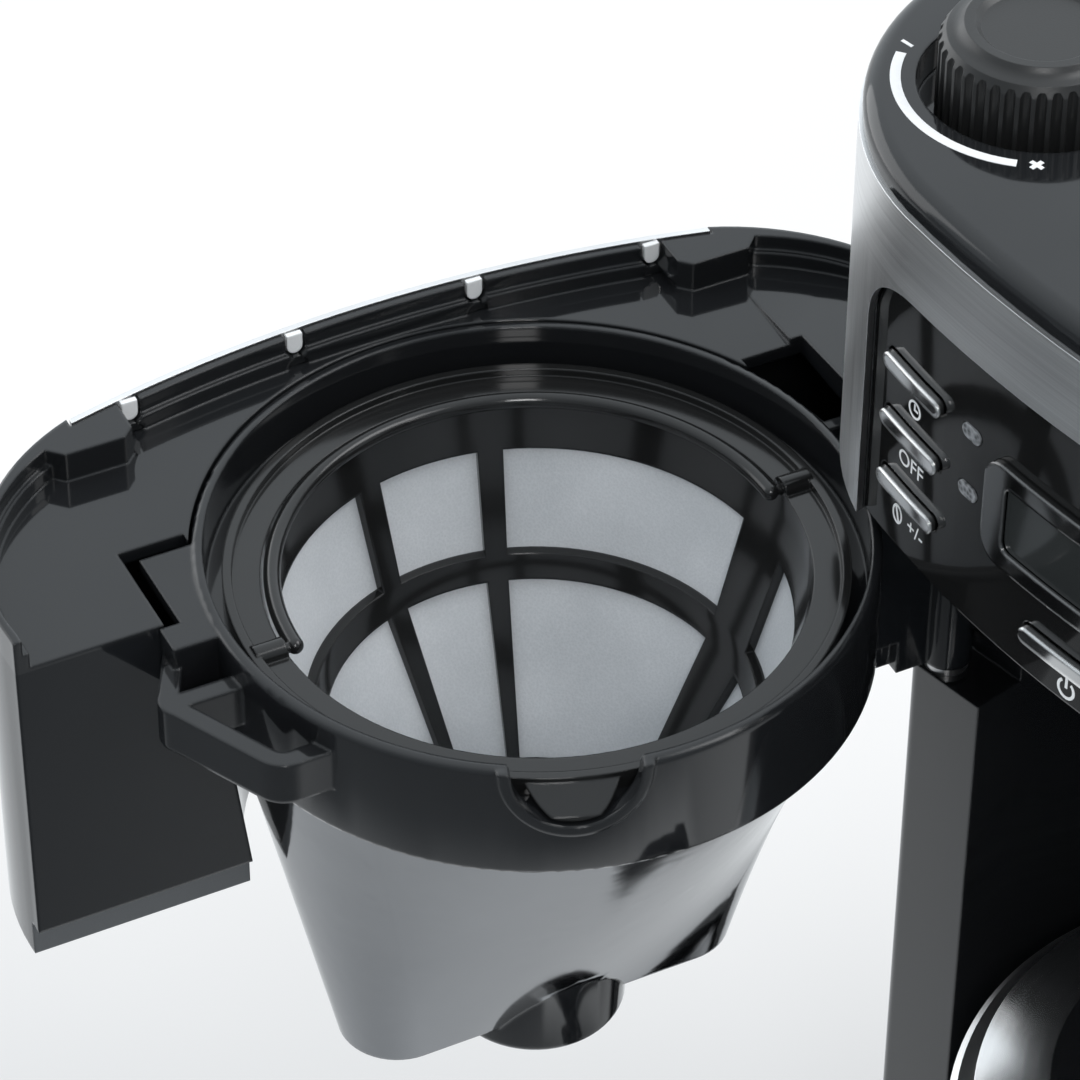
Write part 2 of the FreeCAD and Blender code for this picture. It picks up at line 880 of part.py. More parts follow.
def button_places():
    """Name, place and height of each bar button."""
    names = ("program", "grind", "strength"), ("hour", "minute", "cups")
    places = []
    for side, group in zip((-1, 1), names):
        for name, height in zip(group, button_heights):
            places.append((name, side * button_column, rim_height + height))
    places.append(("power", -low_button_x, rim_height + low_button_height))
    places.append(("timer", low_button_x, rim_height + low_button_height))
    return places


def control_panel():
    """The glossy convex panel, with its foot, the slots for the bars and the posts for the board."""
    body = fascia_band(-fascia_wall, 0.0, head_bottom, band_bottom - seat_gap, fascia_half_width - seat_gap)
    window = rounded(-fascia_half_width + seat_gap, fascia_half_width - seat_gap, head_bottom - 50.0,
                     band_bottom - seat_gap, window_round)
    body = body.common(upright(window, 0, 0))
    foot = fascia_band(board_y - fascia_front, -1.0, head_bottom, head_bottom + wall, fascia_half_width - 3)
    foot = foot.cut(box(-body_back, body_back, -board_y - 1.0 - seat_gap, body_back,
                        head_bottom - 1, band_top))
    body = body.fuse(foot)
    for x in (4.0 - board_half_width, board_half_width - 4.0):
        for z in (head_bottom + 6.5, band_bottom - 9.0):
            post = Part.makeCylinder(3.0, 12.0, Vec(x, -board_y, z), -BACK)
            body = body.fuse(post.cut(fascia_band(-1.0, 20.0, 0, cover_top, body_half_width)))
    lens_hole = rounded_block(lens_half_width + 1.0, lens_half_height + 1.0, 3.0)
    body = body.cut(upright(lens_hole, 0, display_z()))
    for name, x, z in button_places():
        slot = stadium(button_length / 2 + move_gap, button_height / 2 + move_gap)
        body = body.cut(upright(slot, x, z))
    for height in light_heights:
        body = body.cut(upright(stadium(light_length / 2, light_height / 2), light_x, rim_height + height))
    return body.removeSplitter()


def display_frame():
    outer = upright(rounded_block(display_half_width, display_half_height, 4.5), 0, display_z())
    inner = upright(rounded_block(lens_half_width, lens_half_height, 2.0), 0, display_z())
    slab = fascia_band(0.0, bezel_proud, head_bottom, band_bottom, fascia_half_width)
    return slab.common(outer).cut(inner)


def display_lens():
    outline = rounded_block(lens_half_width - seat_gap, lens_half_height - seat_gap, 2.0)
    shape = upright(outline, 0, display_z())
    return fascia_band(-fascia_wall, 0.7, head_bottom, band_bottom, fascia_half_width).common(shape)


def display_module():
    z = display_z()
    w = lens_half_width + 4.0
    h = lens_half_height + 3.0
    body = box(-w, w, -fascia_front, -board_y, z - h, z + h)
    return body.cut(fascia_band(-fascia_wall, 20.0, 0, cover_top, body_half_width))


def control_board():
    """The circuit board behind the panel with a small switch behind each bar."""
    half = board_half_width
    plate = box(-half, half, -board_y, -board_y + board_wall, head_bottom + wall + 1.0, band_bottom - 4.0)
    switches = [box(x - 3, x + 3, -board_y - switch_height, -board_y, z - 3, z + 3)
                for name, x, z in button_places()]
    return joined([plate] + switches)


def bar_button(x, z):
    """A slim bar with a hidden flange and a stem that ends just before its switch."""
    shape = upright(stadium(button_length / 2, button_height / 2), x, z)
    bar = fascia_band(-5.0, button_proud, head_bottom, band_bottom, body_half_width).common(shape)
    flange_shape = upright(stadium(button_length / 2 + 1.5, button_height / 2 + 1.5), x, z)
    flange = fascia_band(-4.4, -fascia_wall - 0.3, head_bottom, band_bottom, body_half_width)
    flange = flange.common(flange_shape)
    stem_end = -board_y - switch_height - button_travel - 0.2
    stem = Part.makeCylinder(1.4, fascia_front - board_y, Vec(x, stem_end, z), -BACK)
    stem = stem.cut(fascia_band(-4.0, 20.0, 0, cover_top, body_half_width))
    return joined([bar, flange, stem])


def indicator_lights():
    lenses = []
    slab = fascia_band(-fascia_wall - 1.0, 0.3, head_bottom, band_bottom, body_half_width)
    for height in light_heights:
        shape = upright(stadium(light_length / 2 - 0.1, light_height / 2 - 0.1), light_x, rim_height + height)
        lenses.append(slab.common(shape))
    return Part.makeCompound(lenses)


# Grinder

grinder_floor = head_bottom + wall
burr_mouth = 16.0
burr_roof = 2.5


def grinder_motor():
    low = grinder_floor - motor_length
    can = rod(grinder_x, grinder_y, low, grinder_floor, motor_radius)
    can = can.makeFillet(3.0, edges_at(can, low))
    flange = rod(grinder_x, grinder_y, grinder_floor, grinder_floor + cover_wall, motor_flange)
    body = can.fuse(flange).removeSplitter()
    return body.cut(rod(grinder_x, grinder_y, grinder_floor - 20.0, grinder_floor + cover_wall,
                        burr_shaft + shaft_gap))


def burr_case():
    """The grinding chamber with its shaft hole and the outlet to the chute."""
    low = grinder_floor + cover_wall
    high = low + burr_case_height
    r = burr_case_radius
    profile = [
        (burr_shaft + 1.0, low), (r, low), (r, high), (burr_mouth, high), (burr_mouth, high - burr_roof),
        (r - wall, high - burr_roof), (r - wall, low + wall), (burr_shaft + 1.0, low + wall),
    ]
    body = turned(profile, grinder_x, grinder_y)
    return body.cut(chute_space(0.0))


def burr_heights():
    low = grinder_floor + cover_wall + wall + 1.0
    return low, low + 14.0


def lower_burr():
    """The turning cone burr on its shaft."""
    low, high = burr_heights()
    cone = turned([(0, low), (burr_radius, low), (burr_radius, low + 4.0), (9.0, high), (0, high)],
                  grinder_x, grinder_y)
    edge = burr_radius
    for tooth in range(10):
        groove = turned([(10.5, high - 0.5), (edge, low + 4.6), (edge, low + 6.5), (10.5, high + 2.0)],
                        grinder_x, grinder_y, 12.0)
        cone = cone.cut(about(moved(groove, 0, 0, -2.0), grinder_x, grinder_y, tooth * 36.0))
    shaft = rod(grinder_x, grinder_y, grinder_floor - 19.0, low, burr_shaft)
    return cone.fuse(shaft).removeSplitter()


def upper_burr():
    """The fixed ring burr above the cone."""
    low, high = burr_heights()
    top = grinder_floor + cover_wall + burr_case_height - burr_roof
    outer = burr_case_radius - wall
    return turned([(burr_radius + 1.0, low + 6.0), (outer, low + 6.0), (outer, top), (15.0, top),
                   (13.0, high + 1.0)], grinder_x, grinder_y)


def chute_way():
    """Start, end and heading of the chute in plan."""
    start = Vec(grinder_x, grinder_y, 0)
    end = Vec(chute_drop[0], chute_drop[1], 0)
    way = end - start
    return start, end, way.normalize()


def chute_space(grow):
    """The space that ground coffee slides through, as a straight channel towards the drop."""
    start, end, way = chute_way()
    length = start.distanceToPoint(end)
    half = chute_half - wall + grow
    low = grinder_floor + cover_wall + wall - grow
    channel = box(burr_case_radius - wall * 2, length + half, -half, half, low, low + 14.0 + grow * 2)
    channel.rotate(Vec(0, 0, 0), UP, math.degrees(math.atan2(way.y, way.x)))
    return moved(channel, start.x, start.y, 0)


def grind_chute():
    """A box channel from the chamber to the drop over the filter, with a spout through the head's floor."""
    cx, cy = chute_drop
    body = chute_space(wall)
    spout = box(cx - chute_half, cx + chute_half, cy - chute_half, cy + chute_half,
                head_bottom - 3.0, grinder_floor + cover_wall + 10.0)
    hole = chute_half - wall
    throat = box(cx - hole, cx + hole, cy - hole, cy + hole,
                 head_bottom - 4.0, grinder_floor + cover_wall + 8.0)
    body = joined([body, spout]).cut(chute_space(0.0)).cut(throat)
    return body.cut(rod(grinder_x, grinder_y, head_bottom, band_top, burr_case_radius + seat_gap))


# Door


def pocket(grow):
    """The round pocket that the basket's collar sits in, with a ledge under the collar."""
    top = collar_radius + move_gap + grow
    seat = basket_top_radius + move_gap * 2 + grow
    foot = basket_top_radius - 4.0 + grow
    ledge = collar_bottom - seat_gap
    return turned([(0, door_bottom - 1), (foot, door_bottom - 1), (foot, panel_bottom), (seat, ledge),
                   (top, ledge), (top, door_top + 1), (0, door_top + 1)], brew_x, brew_y)


def notch(side):
    """The notch for a basket ear, on the hinge side (-1) or the free side (1)."""
    near = brew_x + side * ear_notch_near
    far = brew_x + side * ear_notch_far
    return box(min(near, far), max(near, far), -ear_notch_depth, body_back,
               plate_top - door_plate - 1, door_top + 1)


def end_block(side):
    """The thick end of the door's wall beside the skin, on the hinge side (-1) or the free side (1)."""
    near = door_jog_x - end_block_near
    far = door_jog_x + end_block_far
    inner = -door_jog_y + end_block_depth
    outline = wire(
        (side * (near - end_block_slant), -door_apex),
        (side * (near - end_block_slant), inner - end_block_slant),
        (side * near, inner),
        (side * far, inner),
        (side * (far + end_block_slant), inner - end_block_slant),
        (side * (far + end_block_slant), -door_apex),
    )
    return prism(outline, plate_top - 1, door_top)


def door_tray():
    """The door moulding: plate, two-tier wall, pocket, inner panel, lower rail and hinge knuckle."""
    end = -door_inner_y
    far = body_half_width
    skin = skin_wall + seat_gap
    body = prism(door_outline(end, skin), door_bottom, door_top)
    body = body.cut(prism(door_inside(far, door_lower_wall), plate_top, door_top + 1))
    body = body.cut(prism(door_inside(far, door_upper_wall), plate_top + door_ledge_height, door_top + 1))
    hollow = prism(door_inside(end - wall, wall), door_bottom + wall, plate_top - door_plate)
    body = body.cut(hollow.cut(pocket(wall)))
    rail_y = -door_inner_y - rail_setback
    body = body.cut(box(-far, far, rail_y, far, door_bottom - 1, panel_bottom))
    rail_wall = prism(door_outline(end, skin), door_bottom, panel_bottom)
    body = body.fuse(rail_wall.common(box(-far, far, rail_y - wall, rail_y, door_bottom, panel_bottom)))
    ramp_start = -door_inner_y - ramp_length
    under = plate_top - 1
    ramp_side = [
        Vec(0, ramp_start, under),
        Vec(0, ramp_start, plate_top),
        Vec(0, -door_inner_y, plate_top + ramp_rise),
        Vec(0, -door_inner_y, under),
        Vec(0, ramp_start, under),
    ]
    ramp = Part.Face(Part.makePolygon(ramp_side)).extrude(Vec(ramp_width, 0, 0))
    ramp = moved(ramp, brew_x - collar_radius - 5.0 - ramp_width, 0, 0)
    whole = prism(door_outline(end, skin), door_bottom, door_top)
    for thick in (ramp, end_block(-1), end_block(1)):
        body = body.fuse(thick.common(whole))
    body = body.cut(pocket(0.0))
    body = body.cut(notch(1)).cut(notch(-1))
    half = skin_slot_width / 2
    slot_end = -door_jog_y + end_block_depth
    for x in skin_slots:
        round_bottom = door_top - skin_slot_depth + half
        slot = box(x - half, x + half, -far, slot_end, round_bottom, door_top + 1)
        slot = slot.fuse(Part.makeCylinder(half, far + slot_end, Vec(x, -far, round_bottom), BACK))
        clip_hole = Part.makeCylinder(half, far + slot_end, Vec(x, -far, plate_top), BACK)
        clip_hole = clip_hole.common(box(-far, far, -far, far, plate_top, door_top))
        body = body.cut(slot).cut(clip_hole)
    arm = box(hinge_x, hinge_x + 12.0, -door_inner_y - 5.0, -door_inner_y, door_bottom, door_top)
    knuckle = rod(hinge_x, hinge_y, door_bottom, door_top, knuckle_radius)
    body = joined([body, arm, knuckle])
    bore = rod(hinge_x, hinge_y, door_bottom - 1, door_top + 1, hinge_pin_radius + shaft_gap)
    return opened(body.cut(bore))


def door_skin():
    """The brushed sheet over the middle of the door."""
    reach = door_jog_x - 0.4
    sheet = prism(door_outline(0.0, 0.0), door_bottom + 1.0, door_top + 0.4)
    sheet = sheet.cut(prism(door_outline(1.0, skin_wall), door_bottom, door_top + 1))
    return opened(sheet.common(box(-reach, reach, -body_back, 0, 0, cover_top)))


def hinge_pins():
    """The upper pin in the head's floor and the lower one, with its thrust collar, in the column."""
    upper = rod(hinge_x, hinge_y, door_top - pin_depth, head_bottom + wall, hinge_pin_radius)
    collar = rod(hinge_x, hinge_y, ledge_top, door_bottom - 0.3, knuckle_radius - 0.5)
    lower = rod(hinge_x, hinge_y, ledge_top - tower_wall, door_bottom + pin_depth, hinge_pin_radius)
    return Part.makeCompound([upper, collar.fuse(lower).removeSplitter()])


# Brew basket, permanent filter and drip valve


def basket_cone(shrink, low, high, top_radius):
    """The basket's body: round at the top, a long slot shape at the bottom."""
    foot = stadium(basket_half_length - shrink, basket_half_width - shrink)
    angle = math.radians(35.0)
    x = top_radius * math.cos(angle)
    y = top_radius * math.sin(angle)
    mouth = wire(
        (-x, -y),
        ((0, -top_radius), (x, -y)),
        ((top_radius, 0), (x, y)),
        ((0, top_radius), (-x, y)),
        ((-top_radius, 0), (-x, -y)),
    )
    foot.translate(Vec(brew_x, brew_y, low))
    mouth.translate(Vec(brew_x, brew_y, high))
    return Part.makeLoft([foot, mouth], True, True)


def spout_block(grow):
    """The flared U of the spout as a block that runs outwards from the brew axis."""
    w = spout_half_width + grow
    depth = spout_depth + grow
    rise = depth - w
    flare = rise * spout_flare
    outline = wire((-w - flare, 0), (-w, -rise), ((0, -depth), (w, -rise)), (w + flare, 0))
    block = prism(outline, 0, collar_radius * 2)
    block.rotate(Vec(0, 0, 0), RIGHT, 90)
    block = moved(block, 0, 0, spout_top())
    block.rotate(Vec(0, 0, 0), UP, 90.0 + spout_angle)
    return moved(block, brew_x, brew_y, 0)


def spout_top():
    return collar_top + 1.0


def spout_frame():
    """The raised edge round the U on the outside of the collar."""
    outer = collar_radius + spout_bead_proud
    ring = tube(brew_x, brew_y, collar_bottom, collar_top, outer, collar_radius - 1.0)
    return ring.common(spout_block(spout_bead))


def loop_outline():
    """The finger loop seen from above, on the free side of the collar."""
    front = move_gap - door_inner_y
    far = collar_radius + loop_reach
    knee = collar_radius + loop_bend
    return wire(
        (collar_radius - 12.0, front),
        (collar_radius + 8.0, front),
        (far, 3.5),
        ((far + 1.2, 6.5), (far, 10.0)),
        (knee, loop_back - 3.7),
        ((knee - 3.0, loop_back - 0.6), (knee - 7.5, loop_back)),
        (collar_radius - 14.5, loop_back),
    )


def finger_loop():
    """The loop with its finger hole, the cross bar before it and the small pocket beside the strap."""
    loop = prism(loop_outline(), loop_low, loop_high)
    inner = inset(loop_outline(), loop_bar)
    wide = collar_radius * 2
    hole = prism(inner, loop_low - 1, loop_high + 1).common(box(0, wide, loop_cross, wide, 0, cover_top))
    dip = prism(inner, loop_low + loop_pocket_floor, loop_high + 1)
    dip = dip.common(box(0, wide, strap_back, loop_cross - loop_bar, 0, cover_top))
    return loop.cut(hole).cut(dip)


def brew_basket():
    """Collar, ledge, cone, outlet lobe, finger loop and ear in one moulding."""
    low = collar_bottom
    collar = rod(brew_x, brew_y, low, collar_top, collar_radius)
    collar = collar.makeFillet(1.2, edges_at(collar, collar_top) + edges_at(collar, low))
    cone = basket_cone(0.0, basket_bottom, low, basket_top_radius)
    lobe = rod(brew_x, brew_y, lobe_bottom, lobe_top, lobe_radius)
    lobe = lobe.makeFillet(2.0, edges_at(lobe, lobe_bottom))
    ear_far = brew_x + ear_notch_far - ear_room
    ear_top = plate_top - 0.3
    ear = box(brew_x + 40.0, ear_far, -ear_notch_depth + ear_room, -1.0, plate_top - door_plate, ear_top)
    strap = box(ear_far - 13.0, ear_far + 4.0, move_gap - door_inner_y, strap_back, loop_low, ear_top)
    body = collar.fuse([cone, lobe, finger_loop(), ear, strap, spout_frame()])
    body = body.cut(rod(brew_x, brew_y, ledge_height, collar_top + 1, collar_inner))
    hollow = basket_cone(basket_wall, basket_bottom + basket_wall, low, ledge_inner)
    hollow = hollow.fuse(rod(brew_x, brew_y, low, ledge_height + 1, ledge_inner))
    body = body.cut(hollow)
    floor = basket_bottom + basket_wall
    body = body.cut(rod(brew_x, brew_y, valve_floor(), floor + 10.0, valve_chamber_radius))
    body = body.cut(rod(brew_x, brew_y, lobe_bottom - 1, floor, valve_hole_radius))
    bar_low = valve_floor() + valve_disc_thickness + spring_height
    half = bridge_bar
    reach = lobe_radius - 1.0
    bar = box(brew_x - half, brew_x + half, brew_y - reach, brew_y + reach, bar_low, bar_low + bridge_bar)
    body = body.fuse(bar)
    notch_ring = tube(brew_x, brew_y, collar_bottom, spout_top(), collar_radius + 5.0, rim_radius - 2.0)
    return body.cut(spout_block(0.0).common(notch_ring))


def valve_floor():
    return lobe_bottom + lobe_floor


def drip_valve():
    """A disc with a stem whose nub stands below the outlet, to be lifted by the carafe's lid."""
    seat = valve_floor() + seat_gap
    disc = rod(brew_x, brew_y, seat, seat + valve_disc_thickness, valve_disc_radius)
    stem = rod(brew_x, brew_y, lobe_bottom - valve_nub, seat, valve_stem_radius)
    stem = stem.makeFillet(1.0, edges_at(stem, lobe_bottom - valve_nub))
    return disc.fuse(stem).removeSplitter()


def valve_spring():
    low = valve_floor() + seat_gap + valve_disc_thickness
    high = valve_floor() + valve_disc_thickness + spring_height
    return tube(brew_x, brew_y, low, high, spring_radius + spring_wire, spring_radius)


def filter_radius(depth):
    """Outer radius of the filter's frame at a depth below the rim plane."""
    if depth <= filter_ring_depth:
        return rim_inner - (rim_inner - filter_ring_radius) * depth / filter_ring_depth
    share = (depth - filter_ring_depth) / (filter_depth - filter_ring_depth)
    return filter_ring_radius - (filter_ring_radius - filter_foot_radius) * share


def filter_strip(top, bottom, angle):
    """A stretch of the filter's conical wall between two depths."""
    def at(depth, shift):
        return filter_radius(depth) - shift, rim_height - depth
    profile = [at(top, 0.0), at(bottom, 0.0), at(bottom, filter_wall), at(top, filter_wall)]
    return turned(profile, brew_x, brew_y, angle)


def filter_frame():
    """Rim with its bead and spout lip, rings and ribs that carry the mesh."""
    low = ledge_height
    top = low + rim_thickness
    bead_top = top + rim_bead
    bead_inner = rim_radius - rim_bead_width
    rim = turned([(rim_inner - 2.0, low), (rim_radius, low), (rim_radius, bead_top), (bead_inner, bead_top),
                  (bead_inner, top), (rim_inner - 2.0, top)], brew_x, brew_y)
    pieces = [
        rim,
        filter_strip(0.0, 11.0, 360.0),
        filter_strip(filter_ring_depth - 2.5, filter_ring_depth, 360.0),
        filter_strip(filter_ring_depth, filter_ring_depth + 2.5, 360.0),
        filter_strip(filter_depth - 3.0, filter_depth, 360.0),
    ]
    ribs = [(0.0, wide_rib_angle), (180.0, wide_rib_angle)]
    for side in (90.0, 270.0):
        ribs += [(side - narrow_rib_offset, narrow_rib_angle), (side + narrow_rib_offset, narrow_rib_angle)]
    for heading, width in ribs:
        for top_depth, low_depth in ((10.0, filter_ring_depth), (filter_ring_depth, filter_depth)):
            rib = filter_strip(top_depth, low_depth, width)
            pieces.append(about(rib, brew_x, brew_y, heading - width / 2))
    body = joined(pieces)
    lip_low = spout_top() - spout_depth + lip_gap + filter_wall / 2
    lip = turned([(bead_inner, bead_top), (collar_radius, lip_low), (collar_radius, lip_low - filter_wall),
                  (bead_inner, bead_top - filter_wall)], brew_x, brew_y)
    body = joined([body, lip.common(spout_block(-lip_gap))])
    for side in (0, 180):
        boss = Part.makeCylinder(bail_pin + 1.4, rim_radius - rim_inner + 1.0,
                                 Vec(brew_x + rim_inner - 2.0, brew_y, top), RIGHT)
        body = body.fuse(about(boss, brew_x, brew_y, side))
    axle = Part.makeCylinder(bail_pin + shaft_gap, 2 * rim_radius, Vec(brew_x - rim_radius, brew_y, top),
                             RIGHT)
    return body.cut(axle.common(tube(brew_x, brew_y, low, top + 5, rim_radius - 1.0, 0.1))).removeSplitter()


def filter_mesh():
    """The fine mesh cone behind the ribs, with its flat bottom."""
    z = rim_height
    ring_z = z - filter_ring_depth
    foot_z = z - filter_depth
    t = mesh_wall
    out = seat_gap / 3
    start = 6.0
    profile = [
        (filter_radius(start) + out, z - start), (filter_ring_radius + out, ring_z),
        (filter_foot_radius + out, foot_z - seat_gap / 3), (0, foot_z - seat_gap / 3),
        (0, foot_z - t - seat_gap / 3), (filter_foot_radius + out + t, foot_z - t - seat_gap / 3),
        (filter_ring_radius + out + t, ring_z), (filter_radius(start) + out + t, z - start),
    ]
    return turned(profile, brew_x, brew_y)


def filter_bail():
    """A half hoop that folds flat inside the rim, with a pin at each end."""
    z = ledge_height + rim_thickness
    hoop = Part.makeTorus(bail_radius, bail_wire, Vec(brew_x, brew_y, z), UP)
    reach = 2 * bail_radius
    hoop = hoop.common(box(brew_x - reach, brew_x + reach, brew_y - reach, brew_y, z - 10, z + 10))
    pins = []
    for side in (0, 180):
        start = Vec(brew_x + bail_radius, brew_y, z)
        pin = Part.makeCylinder(bail_pin, rim_radius - 1.2 - bail_radius, start, RIGHT)
        eye = Part.makeSphere(bail_wire, start)
        pins.append(about(pin.fuse(eye), brew_x, brew_y, side))
    return joined([hoop] + pins)


# Carafe

carafe_low = base_top
shell_top = carafe_low + carafe_height
collar_high = shell_top + collar_ring_height
lid_top = collar_high + lid_height
handle_half = 9.0
lever_axis_y = carafe_y - collar_ring_radius - 4.0
lever_axis_z = collar_high + 6.0
lever_pin = 1.5
lid_plug_gap = 3.0


def bottle(radius_shift, foot_shift, top):
    """The rounded outer form of the carafe's steel body as a closed profile wire."""
    x, y = carafe_x, carafe_y
    low = carafe_low + foot_shift
    foot = carafe_foot_radius - radius_shift
    belly = carafe_radius - radius_shift
    shoulder = carafe_shoulder - radius_shift
    waist_z = carafe_low + 52.0
    edges = [
        Part.LineSegment(Vec(x, y, low), Vec(x + foot, y, low)).toShape(),
        Part.Arc(Vec(x + foot, y, low), Vec(x + belly - 4.0, y, carafe_low + 22.0 + foot_shift / 2),
                 Vec(x + belly, y, waist_z)).toShape(),
        Part.Arc(Vec(x + belly, y, waist_z), Vec(x + belly - 3.0, y, carafe_low + 92.0),
                 Vec(x + shoulder, y, top)).toShape(),
        Part.LineSegment(Vec(x + shoulder, y, top), Vec(x, y, top)).toShape(),
        Part.LineSegment(Vec(x, y, top), Vec(x, y, low)).toShape(),
    ]
    return Part.Face(Part.Wire(edges)).revolve(Vec(x, y, 0), UP, 360)


def carafe_shell():
    outer = bottle(0.0, 0.0, shell_top)
    return outer.cut(bottle(carafe_wall, carafe_wall, shell_top + 1.0))


def carafe_liner():
    """The inner flask, joined to the outer shell at its mouth."""
    gap = carafe_wall + liner_gap
    outer = bottle(gap, gap, shell_top)
    body = outer.cut(bottle(gap + carafe_wall, gap + carafe_wall, shell_top + 1.0))
    edge = tube(carafe_x, carafe_y, shell_top - carafe_wall, shell_top, carafe_shoulder - carafe_wall - 0.1,
                carafe_shoulder - gap - 0.5)
    return body.fuse(edge).removeSplitter()


def carafe_collar():
    """The black ring on the neck that carries the handle and the lid."""
    x, y = carafe_x, carafe_y
    r = collar_ring_radius
    profile = [
        (neck_radius, shell_top), (carafe_shoulder, shell_top), (r, shell_top + 3.0), (r, collar_high - 1.5),
        (r - 1.5, collar_high), (neck_radius, collar_high),
    ]
    body = turned(profile, x, y)
    lugs = []
    for side in (-1, 1):
        inner = carafe_x + side * (handle_half - 3.0)
        outer = carafe_x + side * handle_half
        x0 = min(inner, outer)
        axis = Vec(x0, lever_axis_y, lever_axis_z)
        lug = Part.makeCylinder(4.0, 3.0, axis, RIGHT)
        lug = lug.fuse(box(x0, x0 + 3.0, lever_axis_y - 4.0, carafe_y - neck_radius - 8.0,
                           shell_top + 3.0, lever_axis_z))
        lug = lug.cut(Part.makeCylinder(lever_pin + shaft_gap, 3.0, axis, RIGHT))
        lug = lug.cut(rod(carafe_x, carafe_y, collar_high, lid_top + 9, collar_ring_radius - 4.5))
        lugs.append(lug)
    return joined([body] + lugs)


def carafe_handle():
    """A C grip at the front, with a strap that follows the belly."""
    x, y = carafe_x, carafe_y
    top = shell_top + 3.0
    front = y - carafe_radius - 42.0
    inner = y - carafe_shoulder + 2.0
    low = carafe_low + 28.0
    foot = y - carafe_radius + 12.0
    outline = wire(
        (inner, top),
        (front + 16.0, top),
        ((front + 5.0, top - 8.0), (front, top - 26.0)),
        (front + 6.0, low + 18.0),
        ((front + 14.0, low + 4.0), (front + 28.0, low)),
        (foot, low),
        (foot, low + 16.0),
        (front + 30.0, low + 16.0),
        ((front + 22.0, low + 19.0), (front + 19.0, low + 26.0)),
        (front + 14.0, top - 28.0),
        ((front + 17.0, top - 18.0), (front + 28.0, top - 14.0)),
        (inner, top - 14.0),
    )
    face = Part.Face(outline)
    body = face.extrude(Vec(0, 0, handle_half * 2))
    body.rotate(Vec(0, 0, 0), Vec(1, 1, 1), 120)
    body = moved(body, x - handle_half, 0, 0)
    strap = bottle(-3.0, 0.0, shell_top).common(
        box(x - 22.0, x + 22.0, y - 200.0, y, carafe_low + 20.0, shell_top - 0.2))
    body = body.fuse(strap).cut(bottle(-seat_gap, 0.0, shell_top))
    collar_space = rod(x, y, shell_top, lid_top, collar_ring_radius + seat_gap)
    lug_space = box(x - handle_half - seat_gap, x + handle_half + seat_gap, lever_axis_y - 4.2, y,
                    shell_top + 2.8, lid_top)
    return body.cut(collar_space).cut(lug_space).removeSplitter()


def carafe_lid():
    """A domed lid with a drip inlet in the middle and a groove for the seal."""
    x, y = carafe_x, carafe_y
    r = collar_ring_radius - 5.0
    low = collar_high + 0.2
    plug = neck_radius - lid_plug_gap
    hole = 8.0
    dish = 24.0
    depth = 8.0
    crown = low + lid_height - 1.0
    shoulder = low + lid_edge + (lid_height - lid_edge) * 0.6
    outline = wire(
        (hole, low - depth),
        (plug, low - depth),
        (plug, low),
        (r, low),
        (r, low + lid_edge),
        ((r * 0.75, shoulder), (dish, crown)),
        (hole, crown - 5.0),
    )
    face = Part.Face(outline)
    face.rotate(Vec(0, 0, 0), RIGHT, 90)
    face.translate(Vec(x, y, 0))
    return face.revolve(Vec(x, y, 0), UP, 360)


def lid_seal():
    plug = neck_radius - lid_plug_gap
    low = collar_high - 6.0
    return tube(carafe_x, carafe_y, low, low + 3.0, neck_radius - seat_gap, plug + seat_gap / 3)


def pour_lever():
    """The thumb lever over the handle, on a pin between the collar's lugs."""
    half = handle_half - 3.0 - move_gap
    x0 = carafe_x - half
    y, z = lever_axis_y, lever_axis_z
    barrel = Part.makeCylinder(3.5, half * 2, Vec(x0, y, z), RIGHT)
    tip = y - 30.0
    outline = wire(
        (y, z - 2.5),
        (y, z + 3.3),
        ((y - 14.0, z + 5.0), (tip, z + 3.0)),
        (tip, z + 0.5),
        ((y - 14.0, z + 1.5), (y - 3.0, z - 2.5)),
    )
    pad = Part.Face(outline).extrude(Vec(0, 0, half * 2))
    pad.rotate(Vec(0, 0, 0), Vec(1, 1, 1), 120)
    pad = moved(pad, x0, 0, 0)
    pin = Part.makeCylinder(lever_pin, handle_half * 2, Vec(carafe_x - handle_half, y, z), RIGHT)
    return joined([barrel, pad, pin])


# Fasteners


def housing_screws():
    """Pan-head screws through the base pan into the housing."""
    low = foot_height
    rear_x = body_half_width - 42.0
    rear_y = body_back - 14.0
    side_x = body_half_width - 12.0
    side_y = 20.0
    places = [(-rear_x, rear_y), (rear_x, rear_y), (-side_x, side_y), (side_x, side_y)]
    return Part.makeCompound([rod(x, y, low - 1.5, low, 3.5) for x, y in places])


